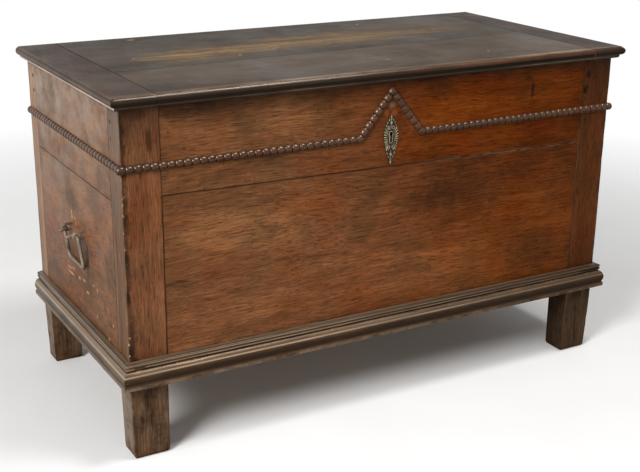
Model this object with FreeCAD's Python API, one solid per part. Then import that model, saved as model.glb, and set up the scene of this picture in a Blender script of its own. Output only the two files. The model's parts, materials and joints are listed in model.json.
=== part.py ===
"""Joined coffer with a plank lid, bobbin moulding, strap hinges, bail handles and a chest lock.

Millimetres, +Z up. The origin is on the floor under the middle of the lid; the front faces -Y.
"""
import FreeCAD, Part
import math
import os
from collections import namedtuple

Vector = FreeCAD.Vector

# Carcase
carcase_width = 1200.0
carcase_depth = 580.0
carcase_height = 728.0
front_post_width = 80.0
front_post_depth = 60.0
rear_post_width = 70.0
rear_post_depth = 50.0
foot_height = 164.0
foot_taper = 4.0
foot_wear = 5.0

# Rails, tenons and pegs
rail_thickness = 30.0
front_rail_left = 175.0
front_rail_right = 190.0
side_rail_height = 190.0
back_rail_height = 160.0
bottom_rail_height = 50.0
tenon_length = 32.0
tenon_thickness = 10.0
tenon_setback = 10.0
tenon_shoulder = 10.0
bottom_tenon_shoulder = 4.0
mortise_spare = 2.0
mortise_clearance = 0.2
peg_width = 9.0
peg_length = 28.0
peg_from_shoulder = 12.0
upper_peg_drop = 31.0
lower_peg_drop = 64.0

# Panels and floor
panel_thickness = 20.0
panel_gap = 0.8
tongue_thickness = 8.0
tongue_length = 10.0
tongue_setback = 6.0
groove_spare = 2.0
groove_clearance = 0.2
floor_thickness = 18.0
floor_ledge = 10.0
floor_board_count = 6
floor_gap = 0.8

# Lid
lid_thickness = 27.0
lid_end_overhang = 21.0
lid_front_overhang = 21.0
lid_rear_overhang = 13.0
lid_end_width = 90.0
lid_board_shrinkage = 1.5
lid_rear_board_left = 384.0
lid_rear_board_right = 337.0
lid_gap = 0.6
lid_tongue_thickness = 9.0
lid_tongue_length = 14.0
lid_tongue_stop = 40.0
lid_tongue_clearance = 0.2
lid_peg_count = 3
lid_peg_inset = 110.0

# Moulded edge of the lid: set-back fillet below, nose above it, quirk on top
fillet_setback = 9.0
fillet_round = 5.0
fillet_height = 7.0
nose_underside = 9.0
nose_undercut = 4.0
nose_level = 17.0
nose_depth = 6.0
nose_quirk = 1.5

# Bead moulding
bead_diameter = 18.0
bead_shoulder = 16.4
bead_waist = 11.0
bead_pitch = 16.7
bead_flank = 3.6
bead_drop = 115.0
gable_centre = -3.0
gable_half_width = 77.0
gable_rise = 94.0

# Base moulding
base_projection = 20.0
base_height = 58.0
base_edge_round = 3.0
base_fillet = 9.0
base_undercut = 3.0
base_torus_low = 14.0
base_torus_high = 40.0
base_torus_top = 12.5
base_quirk = 10.0
base_ridge = 12.5
base_ridge_height = 6.5
base_weathering = 3.0

# Escutcheon and keyhole
keyhole_rise = 3.0
keyhole_bow = 9.0
keyhole_slot = 5.0
keyhole_drop = 19.0
keyhole_wood_clearance = 0.5
escutcheon_thickness = 2.4
escutcheon_top = 44.0
escutcheon_drop = 66.0
escutcheon_half_width = 17.5
escutcheon_belly_drop = 9.0
escutcheon_leaf = 9.5
escutcheon_leaf_drop = 17.0
escutcheon_lobe = 10.5
escutcheon_lobe_rise = 25.0
escutcheon_neck = 3.6
escutcheon_finial = 4.6
escutcheon_finial_length = 13.0
leaf_bow = -1.6
belly_bow = 2.2
flank_bow = 0.5
lobe_bow = 1.4
piercing_diameter = 4.0
piercing_spread = 5.5
piercing_gap = 9.0
upper_pin_drop = 20.0
lower_pin_rise = 22.0
pin_shank = 2.4
pin_length = 11.0
pin_head = 5.0

# Lock
lock_half_width = 62.0
lock_plate_thickness = 2.5
lock_plate_margin = 7.0
lock_top_gap = 0.3
lock_bed_clearance = 0.3
lock_recess_half_width = 53.0
lock_recess_depth = 19.0
lock_recess_margin = 5.0
lock_nail_margin = 4.5
lock_nail_inset = 12.0
bolt_setback = 9.0
bolt_length = 62.0
bolt_height = 12.0
bolt_thickness = 8.0
bolt_drop = 33.0
bolt_clearance = 0.3
bolt_rest_gap = 3.0
talon_width = 10.0
talon_depth = 5.0
guide_width = 6.0
guide_wall = 2.5
first_guide = -11.0
guide_spread = 49.0
spring_thickness = 1.2
spring_rise = 6.0
spring_span = 34.0
key_pin_diameter = 4.0
key_pin_reach = 6.0
catch_offset = -20.0
catch_width = 6.0
catch_wall = 3.0
catch_clearance = 0.75
catch_slot_clearance = 1.0
catch_plate_length = 70.0
catch_plate_width = 22.0
catch_plate_thickness = 2.5
catch_rivet_width = 5.0
catch_rivet_length = 14.0
catch_rivet_spread = 50.0

# Hinges
hinge_inset = 220.0
hinge_gap = 0.5
knuckle_length = 14.0
knuckle_gap = 0.4
hinge_pin_diameter = 6.0
hinge_pin_clearance = 0.05
hinge_pin_proud = 1.5
leaf_thickness = 2.5
leaf_length = 110.0
leaf_tip_width = 22.0
leaf_slot_clearance = 1.0
leaf_nail_count = 3
strap_length = 260.0
strap_width = 34.0
strap_tip_width = 20.0
strap_nail_count = 4
notch_clearance = 1.0

# Bail handles
handle_rise = 32.0
handle_standoff = 13.0
bail_diameter = 8.0
bail_half_width = 47.0
bail_drop = 70.0
bail_bend = 8.0
bail_tip_reach = 19.0
bail_tip_inset = 23.0
bail_seat_gap = 0.3
eye_inset = 12.0
eye_clearance = 0.6
eye_strap_thickness = 4.0
eye_strap_width = 6.0
clench_length = 12.0

# Forged nails
nail_shank = 3.0
nail_length = 16.0
nail_head = 8.0
nail_head_rise = 2.2
nail_end_margin = 14.0

# Places that follow from the sizes above
lid_depth = carcase_depth + lid_front_overhang + lid_rear_overhang
lid_half_width = carcase_width / 2 + lid_end_overhang
lid_board_end = lid_half_width - lid_end_width
lid_front = -lid_depth / 2
lid_rear = lid_depth / 2
lid_top = carcase_height + lid_thickness
lid_tongue_low = carcase_height + (lid_thickness - lid_tongue_thickness) / 2
front_y = lid_front + lid_front_overhang
back_y = front_y + carcase_depth
rail_inside = front_y + rail_thickness
floor_top = foot_height + bottom_rail_height
groove_depth = tongue_length + groove_spare
groove_outer = tongue_setback - groove_clearance
groove_inner = tongue_setback + tongue_thickness + groove_clearance
bead_radius = bead_diameter / 2
bead_height = carcase_height - bead_drop
keyhole_height = bead_height + keyhole_rise
lock_recess_low = keyhole_height - keyhole_drop - lock_recess_margin
lock_plate_low = lock_recess_low - lock_plate_margin
knuckle_radius = hinge_pin_diameter / 2 + hinge_pin_clearance + leaf_thickness
hinge_width = 3 * knuckle_length + 2 * knuckle_gap
hinge_x = hinge_inset - carcase_width / 2
hinge_y = back_y + knuckle_radius + hinge_gap
hinge_z = carcase_height - knuckle_radius - hinge_gap
bolt_y = rail_inside - bolt_setback
bolt_z = carcase_height - bolt_drop
catch_x = gable_centre + catch_offset
eye_x = -carcase_width / 2 - handle_standoff
handle_height = (floor_top + carcase_height - side_rail_height) / 2 + handle_rise
handle_middle = (front_y + back_y) / 2
bail_lean = math.asin((handle_standoff - bail_diameter / 2 - bail_seat_gap) / bail_drop)

Side = namedtuple("Side", "length first_post last_post rail_first rail_last angle corner")
sides = {
    "front": Side(carcase_width, front_post_width, front_post_width, front_rail_left,
                  front_rail_right, 0, Vector(-carcase_width / 2, front_y, 0)),
    "right": Side(carcase_depth, front_post_depth, rear_post_depth, side_rail_height,
                  side_rail_height, 90, Vector(carcase_width / 2, front_y, 0)),
    "back": Side(carcase_width, rear_post_width, rear_post_width, back_rail_height,
                 back_rail_height, 180, Vector(carcase_width / 2, back_y, 0)),
    "left": Side(carcase_depth, rear_post_depth, front_post_depth, side_rail_height,
                 side_rail_height, 270, Vector(-carcase_width / 2, back_y, 0)),
}


# General shapes
def box(x0, x1, y0, y1, z0, z1):
    return Part.makeBox(x1 - x0, y1 - y0, z1 - z0, Vector(x0, y0, z0))


def along_y(y):
    """Plane seen along Y: first number is X, second is Z."""
    return lambda a, b: Vector(a, y, b)


def along_z(z):
    """Plane seen from above: first number is X, second is Y."""
    return lambda a, b: Vector(a, b, z)


def face(plane, start, *steps):
    """Face from a start and steps round it: a corner each, or a pair of arc middle and arc end."""
    edges = []
    here = start
    for step in steps:
        if isinstance(step[0], tuple):
            edges.append(Part.Arc(plane(*here), plane(*step[0]), plane(*step[1])).toShape())
            here = step[1]
        else:
            edges.append(Part.LineSegment(plane(*here), plane(*step)).toShape())
            here = step
    if here != start:
        edges.append(Part.LineSegment(plane(*here), plane(*start)).toShape())
    return Part.Face(Part.Wire(edges))


def bowed(start, end, bow):
    """Arc step whose middle stands off the chord by bow, to the left of the way from start to end."""
    run = end[0] - start[0]
    rise = end[1] - start[1]
    chord = math.hypot(run, rise)
    return ((start[0] + end[0]) / 2 - bow * rise / chord, (start[1] + end[1]) / 2 + bow * run / chord), end


def both_halves(start, steps):
    """Steps round an outline that is the same left and right, from those of its right half."""
    ends = [start] + [s[1] if isinstance(s[0], tuple) else s for s in steps]
    left = []
    for step, end in zip(reversed(steps), reversed(ends[:-1])):
        flipped = (-end[0], end[1])
        left.append(((-step[0][0], step[0][1]), flipped) if isinstance(step[0], tuple) else flipped)
    return steps + left


def half_space(point, normal):
    """Large block on the side of a plane that its normal points to."""
    size = 3 * carcase_width
    block = Part.makeBox(size, size, size, Vector(-size / 2, -size / 2, 0))
    block.Placement = FreeCAD.Placement(point, FreeCAD.Rotation(Vector(0, 0, 1), normal))
    return block


def joined(first, *others):
    return first.fuse(list(others)).removeSplitter().Solids[0]


def placed(shape, side):
    """Move a piece made along X, with its outer face at y = 0, to its side of the carcase."""
    moved = shape.copy()
    turn = FreeCAD.Rotation(Vector(0, 0, 1), side.angle)
    moved.Placement = FreeCAD.Placement(side.corner, turn).multiply(moved.Placement)
    return moved


def mirrored(shape):
    """The same piece on the other side of the middle."""
    return shape.mirror(Vector(0, 0, 0), Vector(1, 0, 0))


def both_sides(shapes):
    return shapes + [mirrored(shape) for shape in shapes]


def pointed(shape, point, direction):
    """Move a piece made along +Z so that it starts at a point and runs along a direction."""
    shape.Placement = FreeCAD.Placement(point, FreeCAD.Rotation(Vector(0, 0, 1), direction))
    return shape


def peg(point, direction, width, length):
    """Riven eight-sided peg."""
    radius = width / 2 / math.cos(math.pi / 8)
    angles = [math.pi / 8 + k * math.pi / 4 for k in range(8)]
    corners = [(radius * math.cos(a), radius * math.sin(a)) for a in angles]
    return pointed(face(along_z(0), *corners).extrude(Vector(0, 0, length)), point, direction)


def square(half, z):
    corners = [Vector(a * half, b * half, z) for a, b in ((-1, -1), (1, -1), (1, 1), (-1, 1))]
    return Part.makePolygon(corners + corners[:1])


def nail(point, direction, shank=nail_shank, length=nail_length, head=nail_head):
    """Forged nail with a four-sided rose head on the surface and a square shank below it."""
    stem = box(-shank / 2, shank / 2, -shank / 2, shank / 2, 0, length)
    rose = Part.makeLoft([square(head / 2, 0), square(shank / 2, -nail_head_rise)], True, True)
    return pointed(joined(stem, rose), point, direction)


def spaced(start, end, count):
    return [start + (end - start) * k / (count - 1) for k in range(count)]


# Frame of the carcase, each side made along X with its outer face at y = 0
def opening_span(side):
    return side.first_post, side.length - side.last_post


def rail_edges(side):
    """Heights of the top rail's lower edge at its first and last end."""
    return carcase_height - side.rail_first, carcase_height - side.rail_last


def tenon_heights(side, first):
    """Lowest and highest point of the top tenon and the bottom tenon at one end of a side."""
    edge = rail_edges(side)[0 if first else 1]
    top = (edge + groove_depth + tenon_shoulder, carcase_height - tenon_shoulder)
    bottom = (foot_height + bottom_tenon_shoulder, floor_top - groove_depth - bottom_tenon_shoulder)
    return top, bottom


def tenon(side, first, heights, spare=0.0, clearance=0.0):
    """Tenon at one end of a side, or its mortise where spare length and clearance are given."""
    x0, x1 = opening_span(side)
    reach = tenon_length + spare
    start = x0 - reach if first else x1
    outer = tenon_setback - clearance
    inner = tenon_setback + tenon_thickness + clearance
    return box(start, start + reach, outer, inner, heights[0] - clearance, heights[1] + clearance)


def top_rail(side):
    x0, x1 = opening_span(side)
    z0, z1 = rail_edges(side)
    outline = face(along_y(0), (x0, z0), (x1, z1), (x1, carcase_height), (x0, carcase_height))
    board = outline.extrude(Vector(0, rail_thickness, 0))
    groove = face(along_y(groove_outer), (x0, z0 - groove_depth), (x1, z1 - groove_depth),
                  (x1, z1 + groove_depth), (x0, z0 + groove_depth))
    board = board.cut(groove.extrude(Vector(0, groove_inner - groove_outer, 0)))
    return joined(board, *[tenon(side, first, tenon_heights(side, first)[0]) for first in (True, False)])


def bottom_rail(side):
    x0, x1 = opening_span(side)
    board = box(x0, x1, 0, rail_thickness, foot_height, floor_top)
    groove = box(x0, x1, groove_outer, groove_inner, floor_top - groove_depth, floor_top)
    ledge = box(x0, x1, rail_thickness - floor_ledge, rail_thickness, floor_top - floor_thickness, floor_top)
    board = board.cut([groove, ledge])
    return joined(board, *[tenon(side, first, tenon_heights(side, first)[1]) for first in (True, False)])


def panel(side):
    """Flush board with a tongue all round that floats in the grooves of the frame."""
    x0, x1 = opening_span(side)
    z0, z1 = rail_edges(side)

    def board(grow, setback, thickness):
        low = floor_top - grow
        outline = face(along_y(setback), (x0 - grow, low), (x1 + grow, low), (x1 + grow, z1 + grow),
                       (x0 - grow, z0 + grow))
        return outline.extrude(Vector(0, thickness, 0))

    field = board(-panel_gap, 0, panel_thickness)
    return joined(field, board(tongue_length, tongue_setback, tongue_thickness))


def side_pegs(side):
    """Pegs through the tenons of one side, flush with its outer face."""
    x0, x1 = opening_span(side)
    pegs = []
    for first, x in ((True, x0 - peg_from_shoulder), (False, x1 + peg_from_shoulder)):
        bottom = sum(tenon_heights(side, first)[1]) / 2
        for z in (carcase_height - upper_peg_drop, carcase_height - lower_peg_drop, bottom):
            pegs.append(placed(peg(Vector(x, 0, z), Vector(0, 1, 0), peg_width, peg_length), side))
    return pegs


def post_cuts(side):
    """Mortises and panel grooves that one side needs in its two posts."""
    x0, x1 = opening_span(side)
    z0, z1 = rail_edges(side)
    cuts = []
    for first, start, edge in ((True, x0 - groove_depth, z0), (False, x1, z1)):
        for heights in tenon_heights(side, first):
            cuts.append(tenon(side, first, heights, mortise_spare, mortise_clearance))
        cuts.append(box(start, start + groove_depth, groove_outer, groove_inner, floor_top - groove_depth,
                        edge + groove_depth))
    return [placed(cut, side) for cut in cuts]


def post_footprint(x_sign, y_sign, grow=0.0):
    """Outer corner and inner corner of a post, the inner one moved out by grow."""
    width, depth = (front_post_width, front_post_depth) if y_sign < 0 else (rear_post_width, rear_post_depth)
    outer = (x_sign * carcase_width / 2, front_y if y_sign < 0 else back_y)
    inner = (outer[0] - x_sign * (width + grow), outer[1] - y_sign * (depth + grow))
    return outer, inner


def post_block(x_sign, y_sign, z0, z1, grow=0.0):
    outer, inner = post_footprint(x_sign, y_sign, grow)
    xs = sorted((outer[0], inner[0]))
    ys = sorted((outer[1], inner[1]))
    return box(xs[0], xs[1], ys[0], ys[1], z0, z1)


def post(x_sign, y_sign, cuts):
    """Corner post that runs on below the carcase as a tapered foot with worn lower edges."""
    outer, inner = post_footprint(x_sign, y_sign)

    def section(taper, wear, z):
        x0 = outer[0] - x_sign * (taper + wear)
        y0 = outer[1] - y_sign * (taper + wear)
        x1 = inner[0] + x_sign * wear
        y1 = inner[1] + y_sign * wear
        corners = [Vector(x0, y0, z), Vector(x1, y0, z), Vector(x1, y1, z), Vector(x0, y1, z)]
        return Part.makePolygon(corners + corners[:1])

    sole = section(foot_taper, foot_wear, 0)
    foot = Part.makeLoft([sole, section(foot_taper, 0, foot_wear), section(0, 0, foot_height)], True, True)
    stile = post_block(x_sign, y_sign, foot_height, carcase_height)
    return joined(stile, foot).cut(cuts).Solids[0]


def floor_board(index):
    """One of the boards that lie from front to back on the ledges of the bottom rails."""
    margin = rail_thickness - floor_ledge + floor_gap
    left = -carcase_width / 2 + margin
    step = (carcase_width - 2 * margin + floor_gap) / floor_board_count
    low = floor_top - floor_thickness
    board = box(left + index * step, left + (index + 1) * step - floor_gap, front_y + margin,
                back_y - margin, low, floor_top)
    corners = [post_block(a, b, low, floor_top, floor_gap) for a in (-1, 1) for b in (-1, 1)]
    return board.cut(corners).Solids[0]


# Mouldings
def base_moulding(side, first_mitre, last_mitre):
    """Base moulding of one side: fillet, undercut, torus, quirk and two ridges, mitred at the front."""
    ridge_low = base_torus_high + base_weathering
    ridge_mid = ridge_low + base_ridge_height
    ridge_top = ridge_mid + base_ridge_height
    neck = base_projection - base_undercut
    torus_mid = (base_torus_low + base_torus_high) / 2
    profile = [
        (0, 0), (base_projection - base_edge_round, 0), (base_projection, base_edge_round),
        (base_projection, base_fillet), (neck, base_torus_low),
        ((base_projection, torus_mid), (base_torus_top, base_torus_high)),
        (base_quirk, base_torus_high), (base_quirk, ridge_low),
        ((base_ridge, ridge_low + base_ridge_height / 2), (base_quirk, ridge_mid)),
        ((base_ridge, ridge_mid + base_ridge_height / 2), (base_quirk, ridge_top)),
        (base_weathering, base_height), (0, base_height),
    ]
    start = -base_projection
    reach = side.length + 2 * base_projection

    def outward(p, h):
        return Vector(start, -p, foot_height + h)

    strip = face(outward, *profile).extrude(Vector(reach, 0, 0))
    first_end = half_space(Vector(0, 0, 0), Vector(-1, 1 if first_mitre else 0, 0))
    last_end = half_space(Vector(side.length, 0, 0), Vector(1, 1 if last_mitre else 0, 0))
    return placed(strip.cut([first_end, last_end]).Solids[0], side)


def bead_strip(count, pitch):
    """Row of turned beads split along its axis: lies along +X with the flat back at y = 0."""
    points = [(0, 0)]
    for k in range(count):
        x = k * pitch
        points.append((x, bead_waist / 2))
        points.append((x + bead_flank, bead_shoulder / 2))
        points.append((x + pitch / 2, bead_radius))
        points.append((x + pitch - bead_flank, bead_shoulder / 2))
    points.append((count * pitch, bead_waist / 2))
    points.append((count * pitch, 0))
    return face(along_y(0), *points).revolve(Vector(0, 0, 0), Vector(1, 0, 0), 180)


def bead_run(start, end, spare_first=0, spare_last=0):
    """Beads between two points of the front, with whole spare beads past an end for its mitre."""
    length = (end - start).Length
    count = max(1, round(length / bead_pitch))
    pitch = length / count
    strip = bead_strip(count + spare_first + spare_last, pitch)
    strip.translate(Vector(-spare_first * pitch, 0, 0))
    slope = math.degrees(math.atan2(end.z - start.z, end.x - start.x))
    turn = FreeCAD.Rotation(Vector(0, 1, 0), -slope)
    strip.Placement = FreeCAD.Placement(start, turn).multiply(strip.Placement)
    return strip


def front_beads():
    """The four runs of the front, mitred where the moulding climbs over the keyhole."""
    end = carcase_width / 2 + bead_radius
    line = [Vector(-end, front_y, bead_height), Vector(gable_centre - gable_half_width, front_y, bead_height),
            Vector(gable_centre, front_y, bead_height + gable_rise),
            Vector(gable_centre + gable_half_width, front_y, bead_height), Vector(end, front_y, bead_height)]
    ways = [(b - a).normalize() for a, b in zip(line, line[1:])]
    runs = []
    for k, way in enumerate(ways):
        has_before = k > 0
        has_after = k + 1 < len(ways)
        run = bead_run(line[k], line[k + 1], int(has_before), int(has_after))
        if has_before:
            run = run.cut(half_space(line[k], (way + ways[k - 1]) * -1))
        if has_after:
            run = run.cut(half_space(line[k + 1], way + ways[k + 1]))
        runs.append(run.Solids[0])
    return runs


def side_beads(side):
    strip = bead_run(Vector(0, 0, bead_height), Vector(side.length, 0, bead_height))
    return placed(strip, side)


# Lid
def edge_cutter(plane, direction):
    """Waste outside the moulded edge, where the plane takes inset from the edge and height."""
    margin = lid_thickness
    foot = (fillet_setback + fillet_round, 0)
    heel = (fillet_setback, fillet_round)
    round_bow = fillet_round * (1 - math.sqrt(0.5))
    nose = ((0, nose_level), (nose_depth, lid_thickness - nose_quirk))
    edge_round = ((fillet_setback + round_bow, round_bow), heel)
    waste = face(plane, foot, edge_round, (fillet_setback, fillet_height), (nose_undercut, nose_underside),
                 nose, (nose_depth, lid_thickness + margin), (-margin, lid_thickness + margin),
                 (-margin, -margin), (foot[0], -margin))
    return waste.extrude(direction)


def front_edge_cutter(setback):
    def plane(inset, height):
        return Vector(-lid_half_width, lid_front + setback + inset, carcase_height + height)
    return edge_cutter(plane, Vector(2 * lid_half_width, 0, 0))


def left_edge_cutter():
    def plane(inset, height):
        return Vector(-lid_half_width + inset, lid_front, carcase_height + height)
    return edge_cutter(plane, Vector(0, lid_depth, 0))


def lid_pegs():
    """Pegs through the left end and the tongues of the long boards, then those of the right end."""
    x = lid_board_end + lid_tongue_length / 2
    ys = spaced(lid_front + lid_peg_inset, lid_rear - lid_peg_inset, lid_peg_count)
    places = [Vector(-x, y, carcase_height) for y in ys]
    return both_sides([peg(place, Vector(0, 0, 1), peg_width, lid_thickness) for place in places])


def lid_end():
    """Cleated left end: grooved for the tongues of the boards, moulded on its front and its outer edge."""
    board = box(-lid_half_width, -lid_board_end, lid_front, lid_rear, carcase_height, lid_top)
    reach = lid_tongue_length + groove_spare
    groove = box(-lid_board_end - reach, -lid_board_end, lid_front + lid_tongue_stop,
                 lid_rear - lid_tongue_stop, lid_tongue_low - lid_tongue_clearance,
                 lid_tongue_low + lid_tongue_thickness + lid_tongue_clearance)
    return board.cut([groove, left_edge_cutter(), front_edge_cutter(0)] + lid_pegs()).Solids[0]


def lid_board(front):
    """One of the two long boards, which meet along a seam that is out of parallel with the front."""
    end = lid_board_end - lid_gap
    tip = lid_board_end + lid_tongue_length

    def seam(x):
        share = (x + lid_board_end) / (2 * lid_board_end)
        return lid_rear - lid_rear_board_left - (lid_rear_board_right - lid_rear_board_left) * share

    def outline(reach, low, high, z, thickness):
        left = (low, seam(-reach)) if front else (seam(-reach) + lid_gap, high)
        right = (low, seam(reach)) if front else (seam(reach) + lid_gap, high)
        corners = [(-reach, left[0]), (reach, right[0]), (reach, right[1]), (-reach, left[1])]
        return face(along_z(z), *corners).extrude(Vector(0, 0, thickness))

    front_edge = lid_front + lid_board_shrinkage
    board = outline(end, front_edge, lid_rear, carcase_height, lid_thickness)
    tongue = outline(tip, lid_front + lid_tongue_stop + lid_gap, lid_rear - lid_tongue_stop - lid_gap,
                     lid_tongue_low, lid_tongue_thickness)
    return joined(board.cut(front_edge_cutter(lid_board_shrinkage)), tongue).cut(lid_pegs()).Solids[0]


# Hinges, made for the left and mirrored for the right
def hinge_cylinder(x0, length, radius):
    return Part.makeCylinder(radius, length, Vector(x0, hinge_y, hinge_z), Vector(1, 0, 0))


def hinge_bore():
    bore = hinge_pin_diameter / 2 + hinge_pin_clearance
    return hinge_cylinder(hinge_x - hinge_width, 2 * hinge_width, bore)


def hinge_leaf():
    """Back leaf with the two outer knuckles, tapering down the back rail to a round end."""
    x = hinge_x
    wide = hinge_width / 2
    tip = leaf_tip_width / 2
    low = hinge_z - leaf_length
    plate = face(along_y(back_y), (x - wide, hinge_z), (x - wide, hinge_z - knuckle_radius), (x - tip, low),
                 ((x, low - tip), (x + tip, low)), (x + wide, hinge_z - knuckle_radius), (x + wide, hinge_z))
    plate = plate.extrude(Vector(0, leaf_thickness, 0))
    slot = knuckle_length / 2 + knuckle_gap
    plate = plate.cut(box(x - slot, x + slot, back_y, back_y + leaf_thickness,
                          hinge_z - knuckle_radius - leaf_slot_clearance, hinge_z))
    knuckles = [hinge_cylinder(start, knuckle_length, knuckle_radius) for start in (x - wide, x + slot)]
    return joined(plate, *knuckles).cut([hinge_bore()] + leaf_nails()).Solids[0]


def leaf_nails():
    first = hinge_z - knuckle_radius - nail_end_margin
    last = hinge_z - leaf_length
    heights = spaced(first, last, leaf_nail_count)
    places = [Vector(hinge_x, back_y + leaf_thickness, z) for z in heights]
    return [nail(place, Vector(0, -1, 0)) for place in places]


def hinge_pin():
    length = hinge_width + 2 * hinge_pin_proud
    return hinge_cylinder(hinge_x - length / 2, length, hinge_pin_diameter / 2)


def lid_strap():
    """Strap under the lid with the middle knuckle: narrow over the back rail, flared and tapering inside."""
    x = hinge_x
    neck = knuckle_length / 2
    wide = strap_width / 2
    tip = strap_tip_width / 2
    inside = back_y - rail_thickness - notch_clearance
    end = hinge_y - strap_length
    plate = face(along_z(carcase_height - leaf_thickness), (x - neck, hinge_y), (x - neck, inside),
                 (x - wide, inside - neck), (x - tip, end), ((x, end - tip), (x + tip, end)),
                 (x + wide, inside - neck), (x + neck, inside), (x + neck, hinge_y))
    plate = plate.extrude(Vector(0, 0, leaf_thickness))
    knuckle = hinge_cylinder(x - neck, knuckle_length, knuckle_radius)
    return joined(plate, knuckle).cut([hinge_bore()] + strap_nails()).Solids[0]


def strap_nails():
    first = back_y - rail_thickness - notch_clearance - nail_end_margin
    last = hinge_y - strap_length
    ys = spaced(first, last, strap_nail_count)
    places = [Vector(hinge_x, y, carcase_height - leaf_thickness) for y in ys]
    return [nail(place, Vector(0, 0, 1)) for place in places]


def strap_notch():
    """Room for the strap in the top edge of the back rail."""
    half = knuckle_length / 2 + notch_clearance
    x = hinge_x
    return box(x - half, x + half, back_y - rail_thickness, back_y,
               carcase_height - leaf_thickness - notch_clearance, carcase_height)


# Bail handles, made for the left and mirrored for the right
def handle_eyes():
    """Two bent straps whose legs go through the panel and are clenched over inside it."""
    inner = bail_diameter / 2 + eye_clearance
    outer = inner + eye_strap_thickness
    wall = -carcase_width / 2 + panel_thickness
    end = wall + eye_strap_thickness
    clench = outer + clench_length
    eyes = []
    for sign in (-1, 1):
        y = handle_middle + sign * (bail_half_width - eye_inset) - eye_strap_width / 2

        def plane(a, b):
            return Vector(a, y, handle_height + b)

        outline = face(plane, (wall, outer), (eye_x, outer), ((eye_x - outer, 0), (eye_x, -outer)),
                       (wall, -outer), (wall, -clench), (end, -clench), (end, -inner), (eye_x, -inner),
                       ((eye_x - inner, 0), (eye_x, inner)), (end, inner), (end, clench), (wall, clench))
        eyes.append(outline.extrude(Vector(0, eye_strap_width, 0)))
    return eyes


def bent_bar(points, bend, radius):
    """Round bar along straight runs with a tangent arc at each corner."""
    edges = []
    here = points[0]
    for before, corner, after in zip(points, points[1:], points[2:]):
        back = (before - corner).normalize()
        onward = (after - corner).normalize()
        start = corner + back * bend
        end = corner + onward * bend
        centre = corner + (back + onward) * bend
        middle = centre - (back + onward).normalize() * bend
        edges.append(Part.LineSegment(here, start).toShape())
        edges.append(Part.Arc(start, middle, end).toShape())
        here = end
    edges.append(Part.LineSegment(here, points[-1]).toShape())
    section = Part.Wire(Part.Circle(points[0], points[1] - points[0], radius).toShape())
    return Part.Wire(edges).makePipeShell([section], True, False)


def bail():
    """Drop handle whose ends turn in through the eyes and out again as blunt tips, leaning on the wall."""
    tip_x = eye_x - bail_tip_reach
    tip = bail_half_width - bail_tip_inset
    low = handle_height - bail_drop
    y = handle_middle
    half = [Vector(tip_x, y - tip, handle_height), Vector(eye_x, y - tip, handle_height),
            Vector(eye_x, y - bail_half_width, handle_height), Vector(eye_x, y - bail_half_width, low)]
    other = [Vector(p.x, 2 * y - p.y, p.z) for p in reversed(half)]
    bar = bent_bar(half + other, bail_bend, bail_diameter / 2)
    bar.rotate(Vector(eye_x, y, handle_height), Vector(0, 1, 0), -math.degrees(bail_lean))
    return bar


# Lock, escutcheon and catch
def keyhole(y0, y1, grow=0.0):
    centre = Vector(gable_centre, y0, keyhole_height)
    bow = Part.makeCylinder(keyhole_bow / 2 + grow, y1 - y0, centre, Vector(0, 1, 0))
    half = keyhole_slot / 2 + grow
    low = keyhole_height - keyhole_drop - grow
    slot = box(gable_centre - half, gable_centre + half, y0, y1, low, keyhole_height)
    return joined(bow, slot)


def escutcheon_pins():
    surface = front_y - escutcheon_thickness
    heights = (escutcheon_top - upper_pin_drop, lower_pin_rise - escutcheon_drop)
    places = [Vector(gable_centre, surface, keyhole_height + z) for z in heights]
    return [nail(place, Vector(0, 1, 0), pin_shank, pin_length, pin_head) for place in places]


def escutcheon():
    """Pierced plate: leaf point, oval body, lower lobes and lozenge finial."""
    surface = front_y - escutcheon_thickness
    tip = (0, escutcheon_top)
    leaf = (escutcheon_leaf, escutcheon_top - escutcheon_leaf_drop)
    belly = (escutcheon_half_width, -escutcheon_belly_drop)
    lobe = (escutcheon_lobe, escutcheon_lobe_rise - escutcheon_drop)
    neck = (escutcheon_neck, escutcheon_finial_length - escutcheon_drop)
    finial = (escutcheon_finial, neck[1] - escutcheon_finial)
    half = [bowed(tip, leaf, leaf_bow), bowed(leaf, belly, belly_bow), bowed(belly, lobe, flank_bow),
            bowed(lobe, neck, lobe_bow), finial, (0, -escutcheon_drop)]

    def plane(a, b):
        return Vector(gable_centre + a, surface, keyhole_height + b)

    plate = face(plane, tip, *both_halves(tip, half)).extrude(Vector(0, escutcheon_thickness, 0))
    heights = (keyhole_bow / 2 + piercing_gap, -keyhole_drop - piercing_gap)
    spots = [plane(a, b) for a in (-piercing_spread, piercing_spread) for b in heights]
    inward = Vector(0, 1, 0)
    holes = [Part.makeCylinder(piercing_diameter / 2, escutcheon_thickness, spot, inward) for spot in spots]
    return plate.cut(holes + [keyhole(surface, front_y)] + escutcheon_pins()).Solids[0]


def lock_flange(grow=0.0):
    """Top flange of the lock, or with grow the bed it lies in."""
    top = carcase_height - lock_top_gap
    half = lock_half_width + grow
    return box(gable_centre - half, gable_centre + half, rail_inside - lock_recess_depth - grow, rail_inside,
               top - lock_plate_thickness, top + lock_top_gap if grow else top)


def lock_bed():
    """Cuts in the front top rail for the lock: recess open at the top, flange bed, keyhole, nail holes."""
    recess = box(gable_centre - lock_recess_half_width, gable_centre + lock_recess_half_width,
                 rail_inside - lock_recess_depth, rail_inside, lock_recess_low, carcase_height)
    hole = keyhole(front_y, rail_inside - lock_recess_depth, keyhole_wood_clearance)
    return [recess, lock_flange(lock_bed_clearance), hole] + lock_nails() + escutcheon_pins()


def lock_nails():
    surface = rail_inside + lock_plate_thickness
    x = lock_half_width - lock_nail_margin
    heights = (carcase_height - lock_nail_inset, lock_plate_low + lock_nail_inset)
    return [nail(Vector(gable_centre + a, surface, z), Vector(0, -1, 0)) for a in (-x, x) for z in heights]


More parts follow.
